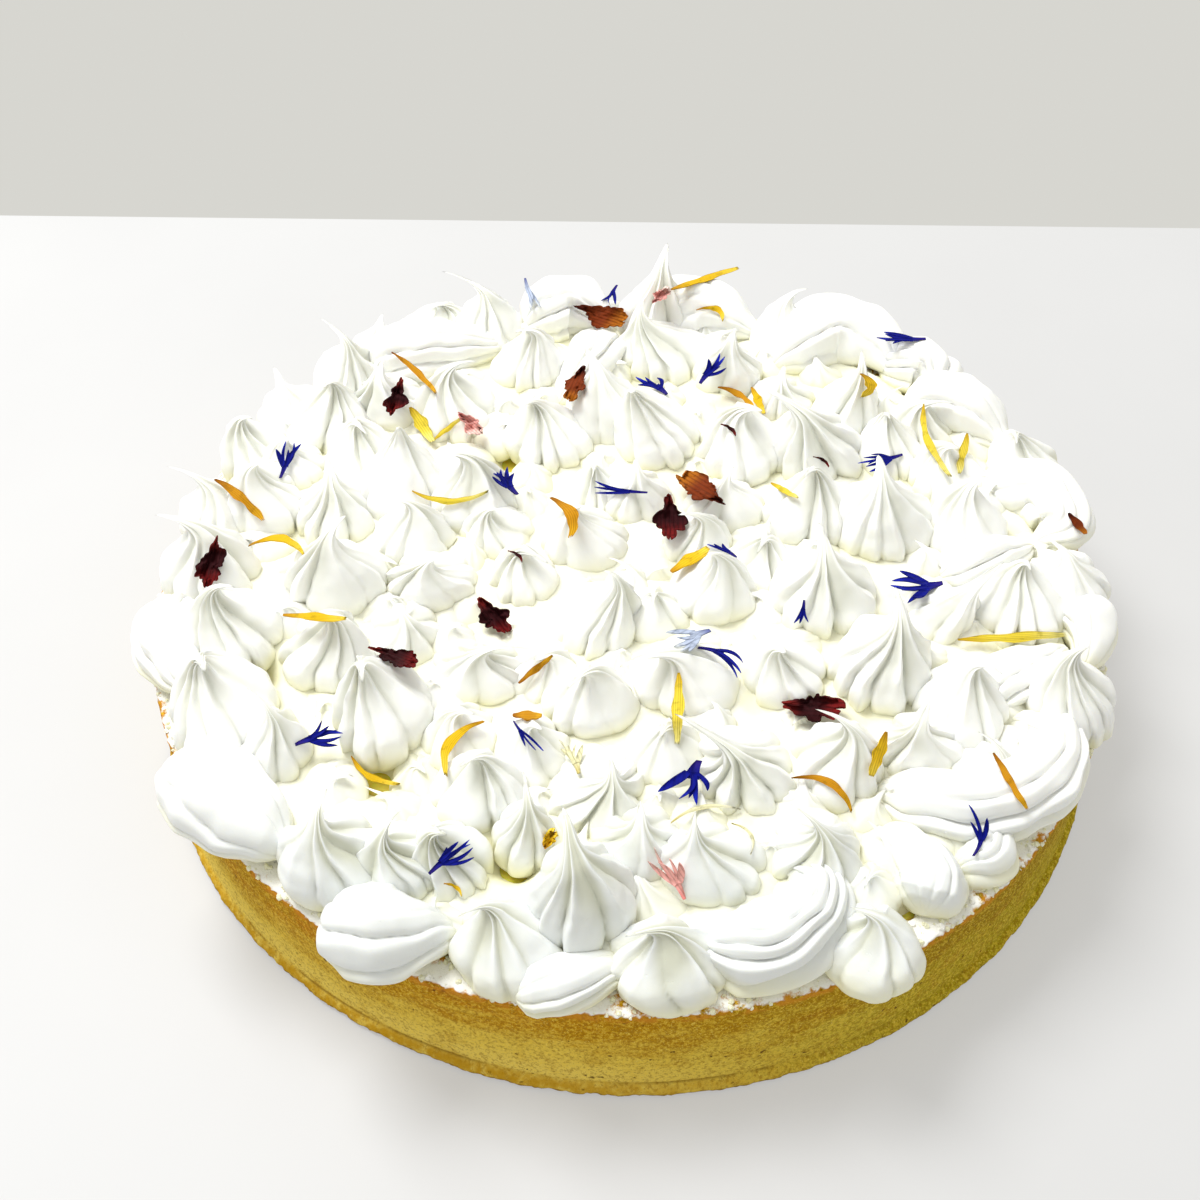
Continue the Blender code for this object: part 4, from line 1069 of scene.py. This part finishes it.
# %% Petal rows: node, kind, two ends on the plan, width, curl and bow in millimetres
PETALS = (
    ("rose_1", "broad", -112, 6, -112, -10, 6, 1.5, 0), ("yellow_1", "ray", -103, 4, -88, 1, 3, 3, 4.5),
    ("yellow_2", "ray", -90, -21, -74, -22, 3, 1, 0), ("rose_2", "broad", -66, -32, -54, -37, 5, 1, 0),
    ("rose_3", "broad", -39, -15, -32, -26, 7, 1.5, 0), ("orange_1", "ray", -28, -43, -20, -34, 2.2, 1, 0),
    ("orange_2", "ray", -29, -53, -22, -53, 3, 1, 0), ("blue_1", "floret", -29, -55, -22, -65, 3, 1, 0),
    ("yellow_3", "ray", -36, -55, -44, -71, 3, 2.5, -4), ("blue_2", "floret", -81, -62, -69, -58, 7, 1, 0),
    ("yellow_4", "ray", -67, -66, -55, -74, 2, 1.5, -2), ("blue_3", "floret", -46, -98, -36, -89, 6, 1, 0),
    ("pale_1", "floret", -12, -70, -16, -60, 6, 1, 0), ("orange_3", "ray", -117, 30, -101, 14, 3.6, 1.5, 1),
    ("blue_4", "floret", -98, 31, -98, 48, 6, 1.5, 0), ("orange_4", "ray", -73, 88, -58, 69, 2.6, 1, 1),
    ("rose_4", "broad", -69, 75, -70, 60, 5.5, 1, 0), ("yellow_5", "ray", -65, 62, -57, 47, 4.5, 1, 0),
    ("yellow_6", "ray", -57, 47, -49, 58, 2.2, 1, 0), ("pink_1", "broad", -50, 59, -43, 51, 5, 1, 0),
    ("yellow_7", "ray", -61, 26, -40, 26, 3, 1.5, -4), ("blue_5", "floret", -32, 25, -38, 37, 7, 1, 0),
    ("blue_6", "floret", 5, 26, -13, 29, 5, 1.5, 0), ("orange_5", "ray", -22, 24, -16, 9, 4, 2.5, 3),
    ("rose_5", "broad", -14, 81, -18, 66, 6, 1, 0), ("rose_6", "broad", -17, 112, -1, 104, 9, 1, 0),
    ("blue_7", "floret", -4, 124, -7, 111, 5, 1, 0), ("pale_2", "floret", -34, 127, -29, 109, 5, 1, 0),
    ("orange_6", "ray", 14, 122, 36, 134, 3.4, 1, 0), ("pink_2", "floret", 12, -104, 5, -91, 6, 1, 0),
    ("yellow_8", "ray", 22, 111, 30, 106, 3.5, 2, 4), ("blue_8", "floret", 21, 75, 30, 88, 7, 1, 0),
    ("blue_9", "floret", 12, 70, 3, 78, 8, 1, 0), ("orange_7", "ray", 27, 73, 37, 63, 3, 1.5, 2),
    ("yellow_9", "ray", 37, 73, 40, 61, 3, 1, 0), ("blue_10", "floret", 93, 97, 77, 98, 7, 1, 0),
    ("yellow_10", "ray", 71, 80, 70, 69, 4, 2.5, 3), ("yellow_11", "ray", 88, 66, 91, 35, 2.8, 2.5, -2.5),
    ("yellow_12", "ray", 99, 53, 94, 36, 2.8, 1, 0), ("blue_11", "floret", 79, 43, 65, 39, 6, 1, 0),
    ("yellow_13", "ray", 40, 31, 47, 25, 2.5, 1, 0), ("rust_1", "broad", 26, 23, 15, 33, 9, 1, 0),
    ("rose_7", "broad", 11, 26, 11, 9, 7, 1.5, 0), ("blue_12", "floret", 29, 2, 21, 8, 4, 1, 0),
    ("yellow_14", "ray", 11, -4, 21, 5, 4, 1, 0), ("blue_13", "floret", 83, -8, 69, -9, 10, 1, 0),
    ("blue_14", "floret", 46, -14, 43, -25, 4, 1, 0), ("yellow_15", "ray", 84, -27, 112, -25, 3.6, 1, 0),
    ("pale_3", "floret", 20, -24, 10, -31, 8, 1, 0), ("blue_15", "floret", 17, -31, 28, -40, 5, 1.5, 3),
    ("yellow_16", "ray", 12, -39, 11, -61, 3.4, 1, 0), ("blue_16", "floret", 15, -66, 13, -79, 12, 1, 0),
    ("rose_8", "broad", 38, -49, 51, -50, 9, 1, 0), ("yellow_17", "ray", 62, -57, 57, -70, 3.2, 1, 0),
    ("orange_8", "ray", 38, -71, 51, -80, 2.6, 2, 4), ("orange_9", "ray", 87, -63, 92, -79, 2.4, 1, 0),
    ("blue_17", "floret", 78, -92, 78, -77, 4.5, 1.5, -2.5),
)
print("petals:", len(PETALS))


# %% Laying tools
PLAN_HEIGHT = 45 * MM
PETAL_THICKNESS = 0.28 * MM


def plain_tree(pieces):
    """One search tree over several pieces."""
    points, faces = [], []
    for piece in pieces:
        start = len(points)
        points += [v.co.copy() for v in piece.data.vertices]
        faces += [tuple(start + k for k in polygon.vertices) for polygon in piece.data.polygons]
    return BVHTree.FromPolygons(points, faces)


def seen_height(tree, target):
    """How far towards the eye the meringue comes on the line of sight to a plan point, from that point."""
    sight = target - EYE
    found = tree.ray_cast(EYE, sight.normalized())
    return sight.length - found[3] if found[0] is not None else -8 * MM


def drape(heights):
    """The taut line over a row of (place, height)."""
    hull = []
    for spot in heights:
        while len(hull) > 1:
            (x1, y1), (x2, y2) = hull[-2:]
            if (x2 - x1) * (spot[1] - y1) < (spot[0] - x1) * (y2 - y1):
                break
            hull.pop()
        hull.append(spot)
    return hull


def laid_points(tree, row, sheet, reach):
    """The sheet's points in place over the meringue, in metres."""
    _, _, x1, y1, x2, y2, width, _, bow = row
    first, last = Vector((x1 * MM, y1 * MM, PLAN_HEIGHT)), Vector((x2 * MM, y2 * MM, PLAN_HEIGHT))
    aside = Vector((0, 0, 1)).cross(last - first).normalized() * MM

    def on_plan(t, s):
        return first.lerp(last, t) + (s * width + bow * 4 * t * (1 - t)) * aside

    steps, sides = [k / 12 for k in range(13)], (-0.5, -0.25, 0.0, 0.25, 0.5)
    seen = {(t, s): seen_height(tree, on_plan(t, s)) for t in steps for s in sides}
    middle = sorted(seen.values())[len(seen) // 2]
    seen = {spot: min(max(value, middle - reach), middle + reach) for spot, value in seen.items()}
    tilt = sum(seen[t, 0.5] - seen[t, -0.5] for t in steps) / len(steps)
    hull = drape([(t, max(seen[t, s] - tilt * s for s in sides)) for t in steps])
    times, heights = zip(*hull)
    placed = []
    for t, s, rise in sheet:
        plan = on_plan(t, s)
        lift = float(np.interp(t, times, heights)) + tilt * s + rise * MM
        placed.append(plan + lift * (EYE - plan).normalized())
    return placed, (EYE - first.lerp(last, 0.5)).normalized()


def thickened(points, faces, rim):
    """Both faces and the edge of a thin solid, from the points of its upper face."""
    mesh = bpy.data.meshes.new("sheet")
    mesh.from_pydata(points, [], faces)
    count = len(points)
    lower = [p - PETAL_THICKNESS * v.normal for p, v in zip(points, mesh.vertices)]
    bpy.data.meshes.remove(mesh)
    closed = list(faces) + [tuple(k + count for k in reversed(face)) for face in faces]
    for here, there in zip(rim, rim[1:] + rim[:1]):
        closed.append((there, here, here + count, there + count))
    return points + lower, closed


def settle(trees, points, faces, up):
    """The lift along up at which the petal is free of everything, or None if it takes too much."""
    step, highest, lowest = 0.15 * MM, 7 * MM, -3 * MM

    def blocked(lift):
        body = BVHTree.FromPolygons([p + lift * up for p in points], faces)
        return any(tree.overlap(body) for tree in trees)

    lift = 0.0
    while blocked(lift):
        lift += step
        if lift > highest:
            return None
    while lift > lowest and not blocked(lift - step):
        lift -= step
    return lift


def seen_share(tree, points):
    """The share of a petal's points that the camera sees past the meringue."""
    clear = 0
    for point in points[::4]:
        sight = (EYE - point).normalized()
        clear += tree.ray_cast(point + 0.3 * MM * sight, sight)[0] is None
    return clear / len(points[::4])


# %% Petals
WIDER_REACHES = (5 * MM, 10 * MM, 18 * MM, 40 * MM)
ENOUGH_SEEN = 0.75


def lay_petal(tree, laid, row, *nodes):
    name, kind = row[0], row[1]
    draw = random.Random(name)
    sheets = SHEETS[kind](draw, row[7], row[6])
    length = math.hypot(row[4] - row[2], row[5] - row[3]) * MM
    for reach in (0.3 * length, *WIDER_REACHES):
        points, faces, uvs = [], [], []
        for spots, quads, rim in sheets:
            placed, up = laid_points(tree, row, spots, reach)
            body, closed = thickened(placed, quads, rim)
            faces += [tuple(len(points) + k for k in face) for face in closed]
            points += body
            uvs += [(t, s) for t, s, _ in spots] * 2
        lift = settle([tree] + laid, points, faces, up)
        if lift is not None and seen_share(tree, [p + lift * up for p in points]) > ENOUGH_SEEN:
            break
    points = [p + (lift or 0) * up for p in points]
    mesh = bpy.data.meshes.new("petal_" + name)
    mesh.from_pydata(points, [], faces)
    layer = mesh.uv_layers.new(name="petal")
    corners = np.zeros(len(mesh.loops), dtype=np.int32)
    mesh.loops.foreach_get("vertex_index", corners)
    layer.data.foreach_set("uv", np.array(uvs, dtype=np.float32)[corners].ravel())
    mesh.shade_smooth()
    laid.append(BVHTree.FromPolygons(points, faces))
    family = name.split("_")[0]
    finish = petal_finishes[OWN_TONES.get(name, family)]
    slot = "petal_yellow" if family == "straw" else "petal_" + family
    return new_piece("dried_" + name, mesh, finish, slot, *nodes)


carriers = kiss_pieces + [layer]
ground = plain_tree(carriers)
laid = []
for row in PETALS:
    lay_petal(ground, laid, row, "petal_" + row[0])
print("laid", len(laid), "petals")

# %% [markdown]
# ## Flakes
# Between the petals lie broken bits of them and thin dried threads. They are too fine to be solids of their
# own, so they are only laid here, in the same way as the petals.

# %% Flakes
FLAKES = (
    ("straw_flake_1", "ray", 9, -84, 25, -80, 1.3, 1.5, 2.5),
    ("straw_flake_2", "ray", 23, -84, 27, -92, 0.9, 1.5, 2.5),
    ("rust_flake_1", "ray", 122, 20, 125, 12, 3, 1, 0),
    ("rose_flake_1", "ray", 27, 56, 31, 51, 1.6, 1.5, 1),
    ("rose_flake_2", "ray", 53, 42, 57, 38, 1.4, 1.5, 1),
    ("rose_flake_3", "ray", -33, 3, -29, -1, 1.2, 1.5, 1),
    ("yellow_flake_1", "broad", -20, -91, -18, -87, 3.5, 0.5, 0),
    ("pink_flake_1", "broad", 8, 115, 13, 122, 4, 1, 0),
    ("yellow_flake_2", "ray", -42, -101, -38, -104, 1, 1, 1),
)
for row in FLAKES:
    lay_petal(ground, laid, row)
print("flakes:", len(FLAKES))
